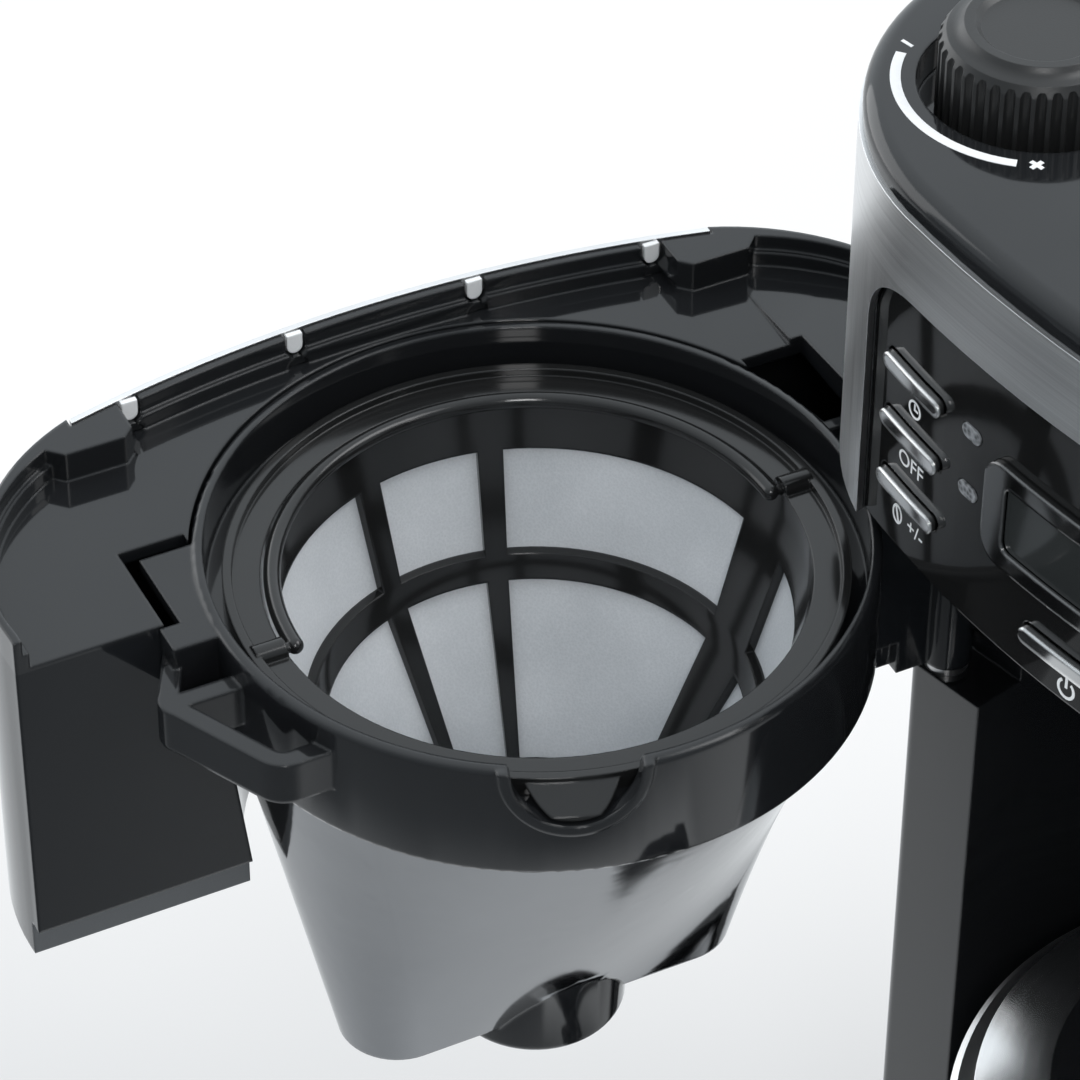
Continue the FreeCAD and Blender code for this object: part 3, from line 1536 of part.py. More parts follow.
def build():
    pieces = {
        "base_housing": base_housing(),
        "base_pan": base_pan(),
        "rubber_feet": rubber_feet(),
        "carafe_rest": carafe_rest(),
        "flow_heater": flow_heater(),
        "cold_tube": cold_tube(),
        "check_valve": check_valve(),
        "riser_tube": riser_tube(),
        "cord_gland": cord_gland(),
        "tower_shell": tower_shell(),
        "rear_cover": rear_cover(),
        "water_tank": water_tank(),
        "head_shell": head_shell(),
        "steel_frame": steel_frame(),
        "top_cover": top_cover(),
        "hopper_lid": lid(hopper_box),
        "tank_lid": lid(tank_mouth_box),
        "bean_hopper": bean_hopper(),
        "grind_dial": grind_dial(),
        "dial_control": dial_control(),
        "shower_head": shower_head(),
        "control_panel": control_panel(),
        "display_frame": display_frame(),
        "display_lens": display_lens(),
        "display_module": display_module(),
        "control_board": control_board(),
        "indicator_lights": indicator_lights(),
        "grinder_motor": grinder_motor(),
        "burr_case": burr_case(),
        "lower_burr": lower_burr(),
        "upper_burr": upper_burr(),
        "grind_chute": grind_chute(),
        "door_tray": door_tray(),
        "door_skin": door_skin(),
        "hinge_pins": hinge_pins(),
        "brew_basket": opened(brew_basket()),
        "drip_valve": opened(drip_valve()),
        "valve_spring": opened(valve_spring()),
        "filter_frame": opened(filter_frame()),
        "filter_mesh": opened(filter_mesh()),
        "filter_bail": opened(filter_bail()),
        "carafe_shell": carafe_shell(),
        "carafe_liner": carafe_liner(),
        "carafe_collar": carafe_collar(),
        "carafe_handle": carafe_handle(),
        "carafe_lid": carafe_lid(),
        "lid_seal": lid_seal(),
        "pour_lever": pour_lever(),
        "housing_screws": housing_screws(),
    }
    for name, x, z in button_places():
        pieces[name + "_button"] = bar_button(x, z)
    return pieces


os.makedirs("parts", exist_ok=True)
for node, shape in build().items():
    shape.exportStep("parts/" + node + ".step")
    size = shape.BoundBox
    print(node, len(shape.Solids), "valid" if shape.isValid() else "INVALID", round(shape.Volume),
          [round(v, 1) for v in (size.XMin, size.XMax, size.YMin, size.YMax, size.ZMin, size.ZMax)])
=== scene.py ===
import json
import math

import bmesh
import bpy
from mathutils import Matrix, Vector


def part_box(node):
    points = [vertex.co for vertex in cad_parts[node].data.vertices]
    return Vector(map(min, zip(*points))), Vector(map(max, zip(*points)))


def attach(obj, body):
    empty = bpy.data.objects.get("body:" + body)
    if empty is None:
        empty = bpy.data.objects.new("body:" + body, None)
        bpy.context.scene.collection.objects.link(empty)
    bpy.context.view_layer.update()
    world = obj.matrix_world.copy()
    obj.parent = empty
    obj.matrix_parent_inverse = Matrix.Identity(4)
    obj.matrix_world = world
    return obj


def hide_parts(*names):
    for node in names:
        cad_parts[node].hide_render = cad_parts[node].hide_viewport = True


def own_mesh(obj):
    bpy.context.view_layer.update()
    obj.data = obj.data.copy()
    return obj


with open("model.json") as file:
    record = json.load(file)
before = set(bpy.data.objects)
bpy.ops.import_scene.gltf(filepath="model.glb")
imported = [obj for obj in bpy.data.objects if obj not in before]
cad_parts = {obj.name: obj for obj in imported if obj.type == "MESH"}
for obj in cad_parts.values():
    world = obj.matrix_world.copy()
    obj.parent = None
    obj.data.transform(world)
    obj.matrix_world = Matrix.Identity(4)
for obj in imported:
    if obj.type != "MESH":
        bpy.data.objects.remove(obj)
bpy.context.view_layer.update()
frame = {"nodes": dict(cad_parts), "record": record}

# Sizes shared with the solids, in metres
rim_height = 0.310
cover_top = 0.407
fascia_front = 0.0695
fascia_curve = 0.250
dial_place = (-0.070, -0.0256)
collar_bottom = rim_height - 0.0165
lobe_radius = 0.018
lobe_top = rim_height - 0.080
hinge_place = (-0.096, -0.008)
door_open_angle = math.radians(105.5)
door_apex = 0.069
door_jog_x = 0.0675
door_sag = 0.0083
door_top = rim_height + 0.0145
plate_top = rim_height + 0.008
skin_back = 0.00135
rail_top = rim_height - 0.058
rail_face = -0.0105
rail_start = 0.03
band_bottom = 0.3845
lid_trim_radius = 0.050
crease_angle = 32.0

# Marks: their thickness and how deep they sink. Bars and display: their places, with heights above the rim
mark_height = 0.00012
mark_sink = 0.00002
side_bar_x = 0.0597
side_bar_heights = (0.0557, 0.0428, 0.0292)
side_mark_drop = 0.0065
low_bar_height = 0.0248
low_mark_drop = 0.0062
display_height = 0.046
display_proud = 0.0007

# Clips and plugs behind the door's skin, and the rear cover's screws
clip_places = (-0.055, -0.019, 0.019, 0.055)
clip_width, clip_height, clip_depth = 0.0032, 0.0043, 0.0013
plug_radius, plug_depth = 0.0021, 0.0022
wall_gap = 0.0001
screw_columns = (-0.080, 0.080)
screw_heights = (0.052, 0.180, 0.306)
screw_seat = 0.0004

# Looks of plastic: the dark and the light tone, then the least and the most roughness
gloss_black = ((0.009, 0.0095, 0.0105), (0.014, 0.0148, 0.016), 0.05, 0.09)
deep_black = ((0.007, 0.0078, 0.009), (0.011, 0.012, 0.0135), 0.05, 0.09)
satin_grey = ((0.075, 0.079, 0.083), (0.095, 0.10, 0.105), 0.34, 0.44)

# Directions of brushing: a small scale stretches the scratches
level_brush = (0.012, 0.012, 1.0)
upright_brush = (1.0, 1.0, 0.012)

# Camera of the photograph
photo_width = 1080
focal_pixels = 4913.75
sensor_width = 36.0
camera_place = Vector((0.3926, -0.5580, 0.9070))
camera_azimuth = math.radians(48.0)
camera_pitch = math.radians(40.9)
camera_roll = math.radians(0.3)


class Tone:
    """One output of a material's nodes. Sums and products of tones add Math nodes to that material."""

    def __init__(self, finish, socket):
        self.finish = finish
        self.socket = socket

    def maths(self, operation, first, second):
        return self.finish.node("ShaderNodeMath", {"operation": operation}, {0: first, 1: second})

    def __add__(self, other):
        return self.maths("ADD", self, other)

    __radd__ = __add__

    def __sub__(self, other):
        return self.maths("SUBTRACT", self, other)

    def __rsub__(self, other):
        return self.maths("SUBTRACT", other, self)

    def __mul__(self, other):
        return self.maths("MULTIPLY", self, other)

    __rmul__ = __mul__

    def __gt__(self, other):
        return self.maths("GREATER_THAN", self, other)

    def __lt__(self, other):
        return self.maths("LESS_THAN", self, other)


class Finish:
    """The nodes of a procedural material, or of the world."""

    def __init__(self, holder):
        self.holder = holder
        holder.use_nodes = True
        self.tree = holder.node_tree
        self.tree.nodes.clear()

    def node(self, kind, settings=None, sockets=None, output=0):
        """Any node: its settings first, then the values or links of its sockets."""
        made = self.tree.nodes.new(kind)
        for key, value in (settings or {}).items():
            setattr(made, key, value)
        for key, value in (sockets or {}).items():
            if isinstance(value, Tone):
                self.tree.links.new(value.socket, made.inputs[key])
            else:
                made.inputs[key].default_value = value
        return Tone(self, made.outputs[output]) if made.outputs else None

    def here(self):
        """The place of a point, in metres."""
        return self.node("ShaderNodeTexCoord", output="Object")

    def place(self, scale=(1, 1, 1)):
        """The place of a point, stretched for a pattern with a direction."""
        return self.node("ShaderNodeMapping", {}, {"Vector": self.here(), "Scale": scale})

    def noise(self, where, scale, detail):
        return self.node("ShaderNodeTexNoise", {}, {"Vector": where, "Scale": scale, "Detail": detail})

    def between(self, share, first, second):
        """A colour between two, by a share from 0 to 1."""
        # The colours of a Mix node are its inputs 6 and 7, and the mixed one its output 2
        ends = {0: share, 6: grey(first), 7: grey(second)}
        return self.node("ShaderNodeMix", {"data_type": "RGBA"}, ends, output=2)

    def ramp(self, value, start, end, kind="LINEAR"):
        """A share that goes from 0 at the start to 1 at the end."""
        return self.node("ShaderNodeMapRange", {"interpolation_type": kind}, {
            "Value": value, "From Min": start, "From Max": end})

    def height(self):
        """The height of a point above the stand."""
        return self.node("ShaderNodeSeparateXYZ", {}, {"Vector": self.here()}, output="Z")

    def along(self, direction, where):
        """How far a point lies in a direction."""
        pair = {0: where, 1: direction}
        return self.node("ShaderNodeVectorMath", {"operation": "DOT_PRODUCT"}, pair, output="Value")

    def from_axis(self, x, y):
        """The distance of a point from an upright axis."""
        flat = self.node("ShaderNodeMapping", {}, {
            "Vector": self.here(), "Location": (-x, -y, 0.0), "Scale": (1.0, 1.0, 0.0)})
        return self.node("ShaderNodeVectorMath", {"operation": "LENGTH"}, {0: flat}, output="Value")

    def either(self, share, first, second):
        """Two shaders side by side on one piece, by a mask."""
        return self.node("ShaderNodeMixShader", {}, {0: share, 1: first, 2: second})

    def soft_edges(self, radius):
        """The normal with its edges rounded, as moulded and pressed edges are."""
        return self.node("ShaderNodeBevel", {"samples": 6}, {"Radius": radius})

    def bump(self, height, strength, edge, distance=0.0002):
        """Fine relief on top of rounded edges."""
        return self.node("ShaderNodeBump", {}, {
            "Height": height, "Strength": strength, "Distance": distance, "Normal": self.soft_edges(edge)})

    def shader(self, sockets):
        return self.node("ShaderNodeBsdfPrincipled", {}, sockets)

    def surface(self, sockets):
        """One Principled shader on the output."""
        return self.done(self.shader(sockets))

    def done(self, shader, output="ShaderNodeOutputMaterial"):
        self.node(output, {}, {"Surface": shader})
        return self.holder


def new_finish(name):
    return Finish(bpy.data.materials.new(name))


def grey(value):
    """A colour with alpha, from one number or three."""
    if isinstance(value, (int, float)):
        return (value, value, value, 1.0)
    return (*value, 1.0)


def opened(x, y):
    """A point of the closed door, seen from above, turned to where it is with the door open."""
    across, along = x - hinge_place[0], y - hinge_place[1]
    c, s = math.cos(-door_open_angle), math.sin(-door_open_angle)
    return hinge_place[0] + across * c - along * s, hinge_place[1] + across * s + along * c


def plastic(finish, dark, light, smooth, rough, grain=0.0, edge=0.0005, sheen=0.5):
    """Moulded plastic: a slight drift in tone and gloss, rounded edges and an optional fine grain."""
    where = finish.place()
    drift = finish.noise(where, 22.0, 3.0)
    smudge = finish.noise(where, 90.0, 4.0)
    relief = finish.bump(finish.noise(where, 2500.0, 2.0), grain, edge) if grain else finish.soft_edges(edge)
    return finish.shader({
        "Base Color": finish.between(drift, dark, light),
        "Roughness": smooth + (rough - smooth) * smudge,
        "Specular IOR Level": sheen,
        "Normal": relief,
    })


def moulded(name, *look, **extra):
    finish = new_finish(name)
    return finish.done(plastic(finish, *look, **extra))


def brush_lines(finish, stretch):
    """Fine scratches along one direction, from 0 to 1."""
    fine = finish.noise(finish.place(stretch), 4200.0, 2.0)
    broad = finish.noise(finish.place(stretch), 1100.0, 2.0)
    return 0.5 * fine + 0.5 * broad


def brushed_metal(finish, scratch, dark, light, smooth, rough, edge=0.0002):
    """Sheet metal whose tone and gloss follow its scratches, with faint clouds."""
    cloud = finish.noise(finish.place(), 16.0, 3.0)
    return finish.shader({
        "Base Color": finish.between(1.3 * scratch + 0.5 * cloud - 0.4, dark, light),
        "Metallic": 1.0,
        "Roughness": smooth + (rough - smooth) * scratch,
        "Normal": finish.bump(scratch, 0.16, edge, 0.00005),
    })


def brushed(name, stretch, *look):
    finish = new_finish(name)
    return finish.done(brushed_metal(finish, brush_lines(finish, stretch), *look))


def arch_steel():
    """The head's steel arch: brushed along its band and down its legs."""
    finish = new_finish("arch_steel")
    leg = finish.ramp(finish.height(), band_bottom + 0.002, band_bottom - 0.004)
    along_band = brush_lines(finish, level_brush)
    down_leg = brush_lines(finish, upright_brush)
    scratch = leg * down_leg + (1.0 - leg) * along_band
    return finish.done(brushed_metal(finish, scratch, 0.66, 1.0, 0.28, 0.42))


def door_black():
    """The door's moulding: bright gloss on top, deeper gloss on its panel, a satin rail along its foot."""
    finish = new_finish("door_black")
    gloss = plastic(finish, *gloss_black, edge=0.0009)
    deep = plastic(finish, *deep_black, edge=0.0009, sheen=0.32)
    satin = plastic(finish, *satin_grey, grain=0.1, edge=0.0006)
    inwards = (math.sin(door_open_angle), math.cos(door_open_angle), 0.0)
    face_x, face_y = opened(0.0, rail_face)
    on_face = finish.along(inwards, finish.here()) > face_x * inwards[0] + face_y * inwards[1] - 0.0002
    off_hinge = finish.from_axis(*hinge_place) > rail_start
    rail = on_face * (finish.height() < rail_top - 0.0001) * off_hinge
    upper = finish.either(finish.height() < plate_top - 0.001, gloss, deep)
    return finish.done(finish.either(rail, upper, satin))


def lid_finish():
    """The carafe's lid: a steel trim round a black middle."""
    finish = new_finish("carafe_lid_trim")
    black = plastic(finish, *gloss_black)
    steel = brushed_metal(finish, brush_lines(finish, level_brush), 0.7, 0.92, 0.2, 0.3)
    return finish.done(finish.either(finish.from_axis(0.0, 0.0) > lid_trim_radius, black, steel))


def polished(name, tone, smooth, edge):
    """Bright polished metal with a faint haze of wiping."""
    finish = new_finish(name)
    haze = finish.noise(finish.place(), 160.0, 4.0)
    return finish.surface({
        "Base Color": finish.between(haze, tone * 0.92, tone),
        "Metallic": 1.0,
        "Roughness": smooth + 0.06 * haze,
        "Normal": finish.soft_edges(edge),
    })


def basket_gloss():
    """The basket: black gloss on its collar, and on its outlet as a painted dark reflection, with a smoky
    mirror gloss on the cone between them.
    """
    finish = new_finish("basket_gloss")
    height = finish.height()
    # painted reflection: the outlet below the smoky cone is painted black gloss, standing in for the dark
    # things it reflects
    outlet_painted_dark = (finish.from_axis(*opened(0.0, 0.0)) < lobe_radius + 0.0003) * (height < lobe_top)
    below = finish.ramp(height, collar_bottom + 0.0002, collar_bottom - 0.0006)
    haze = finish.noise(finish.place(), 60.0, 3.0)
    rounding = finish.soft_edges(0.0011)
    black = finish.shader({
        "Base Color": finish.between(haze, gloss_black[0], (0.013, 0.0137, 0.015)),
        "Roughness": 0.05 + 0.05 * haze,
        "Normal": rounding,
    })
    smoke = finish.shader({
        "Base Color": finish.between(haze, (0.25, 0.257, 0.268), (0.28, 0.288, 0.30)),
        "Metallic": 1.0,
        "Roughness": 0.06 + 0.05 * haze,
        "Specular Tint": grey(0.7),
        "Normal": rounding,
    })
    return finish.done(finish.either(below * (1.0 - outlet_painted_dark), black, smoke))


def mesh_cloth():
    """Fine woven filter mesh, pale and slightly uneven."""
    finish = new_finish("filter_mesh_weave")
    weave = finish.node("ShaderNodeTexVoronoi", {"distance": "CHEBYCHEV"}, {
        "Vector": finish.here(), "Scale": 1900.0})
    cloud = finish.noise(finish.place(), 26.0, 3.0)
    share = weave * 0.3 + cloud * 1.5 - 0.4
    return finish.surface({
        "Base Color": finish.between(share, (0.54, 0.56, 0.58), (0.90, 0.91, 0.93)),
        "Roughness": 0.38 + 0.2 * weave,
        "Normal": finish.bump(weave, 0.22, 0.0001),
    })


def display_glass():
    """The dark display window."""
    finish = new_finish("display_glass")
    cloud = finish.noise(finish.place(), 40.0, 2.0)
    return finish.surface({
        "Base Color": finish.between(cloud, (0.016, 0.018, 0.018), (0.026, 0.028, 0.028)),
        "Roughness": 0.05 + 0.04 * cloud,
    })


def light_lens():
    """Clear moulded lenses with a fine cut pattern, which also lightens their colour as painted glints."""
    finish = new_finish("light_lens")
    cut = finish.node("ShaderNodeTexVoronoi", {}, {"Vector": finish.place(), "Scale": 900.0})
    return finish.surface({
        # painted glints: the cut pattern lightens the colour from near black to pale grey, standing in for
        # sparkle in the clear lens
        "Base Color": finish.between(cut, (0.02, 0.021, 0.022), (0.32, 0.33, 0.345)),
        "Roughness": 0.06 + 0.1 * cut,
        "Normal": finish.bump(cut, 0.5, 0.0004, 0.0004),
    })


def printed(name, tone):
    """A screen-printed mark."""
    finish = new_finish(name)
    ink = finish.noise(finish.place(), 1200.0, 2.0)
    return finish.surface({
        "Base Color": finish.between(ink, tone * 0.93, tone),
        "Roughness": 0.45 + 0.1 * ink,
    })


body_black = moulded("body_black", *gloss_black, edge=0.0008)
panel_black = moulded("panel_black", 0.006, 0.009, 0.04, 0.07, sheen=0.3)
satin_black = moulded("satin_black", 0.012, 0.02, 0.30, 0.40, grain=0.08, edge=0.0003)
filter_black = moulded("filter_black", 0.009, 0.014, 0.09, 0.15, edge=0.0006)
rubber_black = moulded("rubber_black", 0.02, 0.03, 0.6, 0.75, grain=0.2)
silicone_clear = moulded("silicone_clear", 0.62, 0.7, 0.35, 0.45)
nylon_white = moulded("nylon_white", 0.80, 0.88, 0.35, 0.45, grain=0.03)
smoke_clear = moulded("smoke_clear", 0.20, 0.24, 0.1, 0.16)
motor_grey = moulded("motor_grey", 0.15, 0.2, 0.35, 0.5)
board_green = moulded("board_green", (0.02, 0.12, 0.06), (0.04, 0.17, 0.08), 0.35, 0.5)
cast_metal = brushed("cast_metal", (1, 1, 1), 0.42, 0.58, 0.4, 0.55)
band_steel = brushed("band_steel", level_brush, 0.62, 0.92, 0.24, 0.38)
plain_steel = brushed("plain_steel", (0.3, 0.3, 1.0), 0.52, 0.68, 0.25, 0.4)
bright_chrome = polished("bright_chrome", 0.82, 0.05, 0.0011)
dark_chrome = polished("dark_chrome", 0.2, 0.05, 0.0009)
basket_finish = basket_gloss()
mesh_finish = mesh_cloth()
glass_finish = display_glass()
white_print = printed("white_print", 0.86)
segment_print = printed("segment_print", 0.01)

finish_of_slot = {
    "black_plastic": body_black,
    "panel_gloss": panel_black,
    "brushed_steel": band_steel,
    "chrome_trim": bright_chrome,
    "smoke_basket": basket_finish,
    "filter_black": filter_black,
    "filter_mesh_grey": mesh_finish,
    "dial_satin": satin_black,
    "display_glass": glass_finish,
    "light_lens": light_lens(),
    "rubber": rubber_black,
    "silicone": silicone_clear,
    "white_plastic": nylon_white,
    "clear_plastic": smoke_clear,
    "cast_aluminium": cast_metal,
    "motor_paint": motor_grey,
    "board": board_green,
    "steel_parts": plain_steel,
}
finish_of_node = {
    "steel_frame": arch_steel(),
    "door_tray": door_black(),
    "carafe_lid": lid_finish(),
    "display_frame": dark_chrome,
}


def smooth_edges(node):
    """Rounds the shading of a solid's curved faces and keeps its edges crisp."""
    for face in node.data.polygons:
        face.use_smooth = True
    weld = node.modifiers.new("weld", "WELD")
    weld.merge_threshold = 1e-6
    split = node.modifiers.new("crease", "EDGE_SPLIT")
    split.split_angle = math.radians(crease_angle)


for entry in frame["record"]["subparts"]:
    solid = frame["nodes"][entry["node"]]
    solid.data.materials.clear()
    solid.data.materials.append(finish_of_node.get(entry["node"], finish_of_slot[entry["material_slot"]]))
    smooth_edges(solid)


# Small pieces


def piece(name, mesh, finish, body):
    """A finished mesh as a piece that rides on a body."""
    thing = bpy.data.objects.new(name, mesh)
    bpy.context.scene.collection.objects.link(thing)
    mesh.materials.clear()
    mesh.materials.append(finish)
    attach(thing, body)
    return thing


def white_mark(name, mesh):
    """A printed mark on the machine."""
    piece(name, mesh, white_print, "machine")


def finished_mesh(name, shape):
    """A mesh from an edited shape, with its faces turned outwards."""
    bmesh.ops.recalc_face_normals(shape, faces=shape.faces)
    mesh = bpy.data.meshes.new(name)
    shape.to_mesh(mesh)
    shape.free()
    return mesh


def add_prism(shape, near, far):
    """A closed solid between two outlines with the same number of points."""
    front = [shape.verts.new(place) for place in near]
    rear = [shape.verts.new(place) for place in far]
    shape.faces.new(front)
    shape.faces.new(rear[::-1])
    for i in range(len(front)):
        after = (i + 1) % len(front)
        shape.faces.new((front[i], rear[i], rear[after], front[after]))


def flat_mesh(name, outlines):
    """Closed flat plates from outlines in X and Y, as thick as a mark."""
    shape = bmesh.new()
    for outline in outlines:
        add_prism(shape, [(x, y, 0.0) for x, y in outline], [(x, y, mark_height) for x, y in outline])
    return finished_mesh(name, shape)


def arc_band(radius, width, start, end, steps):
    """A part of a ring as one outline; angles in degrees."""
    turns = [math.radians(start + (end - start) * i / steps) for i in range(steps + 1)]
    outer = [((radius + width / 2) * math.cos(a), (radius + width / 2) * math.sin(a)) for a in turns]
    inner = [((radius - width / 2) * math.cos(a), (radius - width / 2) * math.sin(a)) for a in turns]
    return outer + inner[::-1]


def bar(x, y, length, width, angle=0.0):
    """A straight stroke centred on a point."""
    c = math.cos(math.radians(angle))
    s = math.sin(math.radians(angle))
    corners = ((-length, -width), (length, -width), (length, width), (-length, width))
    return [(x + (u * c - v * s) / 2, y + (u * s + v * c) / 2) for u, v in corners]


def plus(x, y, length, width):
    """A plus sign as one outline, centred on a point."""
    a, b = length / 2, width / 2
    corners = ((a, -b), (a, b), (b, b), (b, a), (-b, a), (-b, b),
               (-a, b), (-a, -b), (-b, -b), (-b, -a), (b, -a), (b, -b))
    return [(x + u, y + v) for u, v in corners]


def word_mesh(text, size):
    """Lettering as a thin closed mesh, centred on the origin."""
    letters = bpy.data.curves.new("letters", "FONT")
    letters.body = text
    letters.size = size
    letters.align_x = "CENTER"
    letters.align_y = "CENTER"
    letters.extrude = mark_height / 2
    holder = bpy.data.objects.new("letters", letters)
    bpy.context.scene.collection.objects.link(holder)
    bpy.context.view_layer.update()
    solid = holder.evaluated_get(bpy.context.evaluated_depsgraph_get())
    mesh = bpy.data.meshes.new_from_object(solid)
    bpy.data.objects.remove(holder)
    for vertex in mesh.vertices:
        vertex.co.z += mark_height / 2
    return mesh


def panel_y(x):
    """The panel's front at a distance from its middle."""
    return -fascia_front + fascia_curve - math.sqrt(fascia_curve ** 2 - x ** 2)


def onto_panel(mesh, x, z):
    """Bends a flat mark onto the curved panel."""
    for vertex in mesh.vertices:
        u, v, w = vertex.co
        vertex.co = (x + u, panel_y(x + u) - w + mark_sink, z + v)
    return mesh


def onto_cover(mesh, x, y):
    """Moves a flat mark onto the top."""
    for vertex in mesh.vertices:
        vertex.co += Vector((x, y, cover_top - mark_sink))
    return mesh


def scale_marks():
    """The grind scale on the top: an arc round the dial's front, with a minus and a plus at its ends."""
    radius = 0.0246

    def on_scale(angle):
        return radius * math.cos(math.radians(angle)), radius * math.sin(math.radians(angle))

    arc = arc_band(radius, 0.0019, -152.0, -54.0, 48)
    minus_sign = bar(*on_scale(-159.0), 0.0026, 0.0007)
    plus_sign = plus(*on_scale(-46.0), 0.0028, 0.0009)
    white_mark("scale_arc", onto_cover(flat_mesh("scale_arc", [arc, minus_sign, plus_sign]), *dial_place))


def power_symbol(size):
    """An open ring with a stroke in its gap."""
    ring = arc_band(size, size * 0.32, 125, 415, 28)
    return [ring, bar(0.0, size * 0.75, size * 0.32, size * 1.3)]


def clock_symbol(size):
    """A ring with two hands."""
    ring = arc_band(size, size * 0.26, 0, 359.9, 36)
    long_hand = bar(0.0, size * 0.3, size * 0.24, size * 0.85)
    short_hand = bar(size * 0.27, 0.0, size * 0.7, size * 0.24)
    return [ring, long_hand, short_hand]


def bean_symbol(size):
    """An oval with a slanted crease."""
    oval = [(x * 0.72, y) for x, y in arc_band(size, size * 0.28, 0, 359.9, 36)]
    return [oval, bar(0.0, 0.0, size * 0.26, size * 1.7, 18)]


def panel_marks():
    """White marks under the bars."""
    def sign(name, outlines, x, z):
        white_mark(name, onto_panel(flat_mesh(name, outlines), x, z))

    def word(name, text, size, x, z):
        white_mark(name, onto_panel(word_mesh(text, size), x, z))

    upper, middle, lower = [rim_height + height - side_mark_drop for height in side_bar_heights]
    low = rim_height + low_bar_height - low_mark_drop
    sign("mark_clock", clock_symbol(0.0017), -side_bar_x, upper)
    word("mark_off", "OFF", 0.0046, -side_bar_x, middle)
    sign("mark_bean", bean_symbol(0.0019), -side_bar_x - 0.0032, lower)
    word("mark_strength", "+/-", 0.0044, -side_bar_x + 0.0026, lower)
    word("mark_up", "+", 0.0058, side_bar_x, upper)
    word("mark_down", "-", 0.0062, side_bar_x, middle)
    word("mark_cups", "4-12", 0.0044, side_bar_x, lower)
    sign("mark_power", power_symbol(0.0019), -0.0135, low)
    sign("mark_timer", clock_symbol(0.0019), 0.0160, low)


def digit_segments(figure, x, width, height, stroke):
    """The lit bars of one figure on the display, from half its width and half its height."""
    lit = {"1": "bc", "2": "abged", "0": "abcdef"}[figure]
    places = {
        "a": (0.0, height, 0.0), "d": (0.0, -height, 0.0), "g": (0.0, 0.0, 0.0),
        "b": (width, height / 2, 90.0), "c": (width, -height / 2, 90.0),
        "f": (-width, height / 2, 90.0), "e": (-width, -height / 2, 90.0),
    }
    length = {0.0: width * 1.7, 90.0: height * 0.85}
    return [bar(x + places[s][0], places[s][1], length[places[s][2]], stroke, places[s][2]) for s in lit]


def display_figures():
    """Dark figures on the display, twelve o'clock."""
    half_width, half_height, stroke, dot_height = 0.0022, 0.0042, 0.0009, 0.0016
    outlines = []
    for figure, x in zip("1200", (-0.0135, -0.0055, 0.0055, 0.0135)):
        outlines += digit_segments(figure, x, half_width, half_height, stroke)
    outlines += [bar(0.0, dot, stroke, stroke) for dot in (dot_height, -dot_height)]
    mesh = flat_mesh("display_figures", outlines)
    for vertex in mesh.vertices:
        u, v, w = vertex.co
        vertex.co = (u, panel_y(u) - display_proud - w, rim_height + display_height + v)
    piece("display_figures", mesh, segment_print, "machine")


def screw_tree(finish):
    """Pan-head screws with a cross recess on the points of a mesh."""
    head_sides, recess_lift = 28, 0.6
    tree = bpy.data.node_groups.new("cross_screws", "GeometryNodeTree")
    face = tree.interface
    face.new_socket("Points", in_out="INPUT", socket_type="NodeSocketGeometry")
    for name in ("Head radius", "Head height", "Recess width", "Tilt"):
        face.new_socket(name, in_out="INPUT", socket_type="NodeSocketFloat")
    face.new_socket("Screws", in_out="OUTPUT", socket_type="NodeSocketGeometry")
    nodes, link = tree.nodes, tree.links.new
    given = nodes.new("NodeGroupInput")
    head = nodes.new("GeometryNodeMeshCylinder")
    head.inputs["Vertices"].default_value = head_sides
    link(given.outputs["Head radius"], head.inputs["Radius"])
    link(given.outputs["Head height"], head.inputs["Depth"])
    cross = nodes.new("GeometryNodeJoinGeometry")
    for turn in range(2):
        size = nodes.new("ShaderNodeCombineXYZ")
        wide, narrow = ("X", "Y") if turn else ("Y", "X")
        link(given.outputs["Head radius"], size.inputs[wide])
        link(given.outputs["Recess width"], size.inputs[narrow])
        link(given.outputs["Head height"], size.inputs["Z"])
        slot = nodes.new("GeometryNodeMeshCube")
        link(size.outputs[0], slot.inputs["Size"])
        raised = nodes.new("GeometryNodeTransform")
        lift = nodes.new("ShaderNodeCombineXYZ")
        share = nodes.new("ShaderNodeMath")
        share.operation = "MULTIPLY"
        share.inputs[1].default_value = recess_lift
        link(given.outputs["Head height"], share.inputs[0])
        link(share.outputs[0], lift.inputs["Z"])
        link(slot.outputs["Mesh"], raised.inputs["Geometry"])
        link(lift.outputs[0], raised.inputs["Translation"])
        link(raised.outputs[0], cross.inputs[0])
    cut = nodes.new("GeometryNodeMeshBoolean")
    cut.operation = "DIFFERENCE"
    link(head.outputs["Mesh"], cut.inputs[0])
    link(cross.outputs[0], cut.inputs[1])
    turn = nodes.new("ShaderNodeCombineXYZ")
    link(given.outputs["Tilt"], turn.inputs["X"])
    spread = nodes.new("GeometryNodeInstanceOnPoints")
    link(given.outputs["Points"], spread.inputs["Points"])
    link(cut.outputs["Mesh"], spread.inputs["Instance"])
    link(turn.outputs[0], spread.inputs["Rotation"])
    real = nodes.new("GeometryNodeRealizeInstances")
    link(spread.outputs[0], real.inputs[0])
    coat = nodes.new("GeometryNodeSetMaterial")
    coat.inputs["Material"].default_value = finish
    link(real.outputs[0], coat.inputs["Geometry"])
    result = nodes.new("NodeGroupOutput")
    link(coat.outputs[0], result.inputs[0])
    return tree


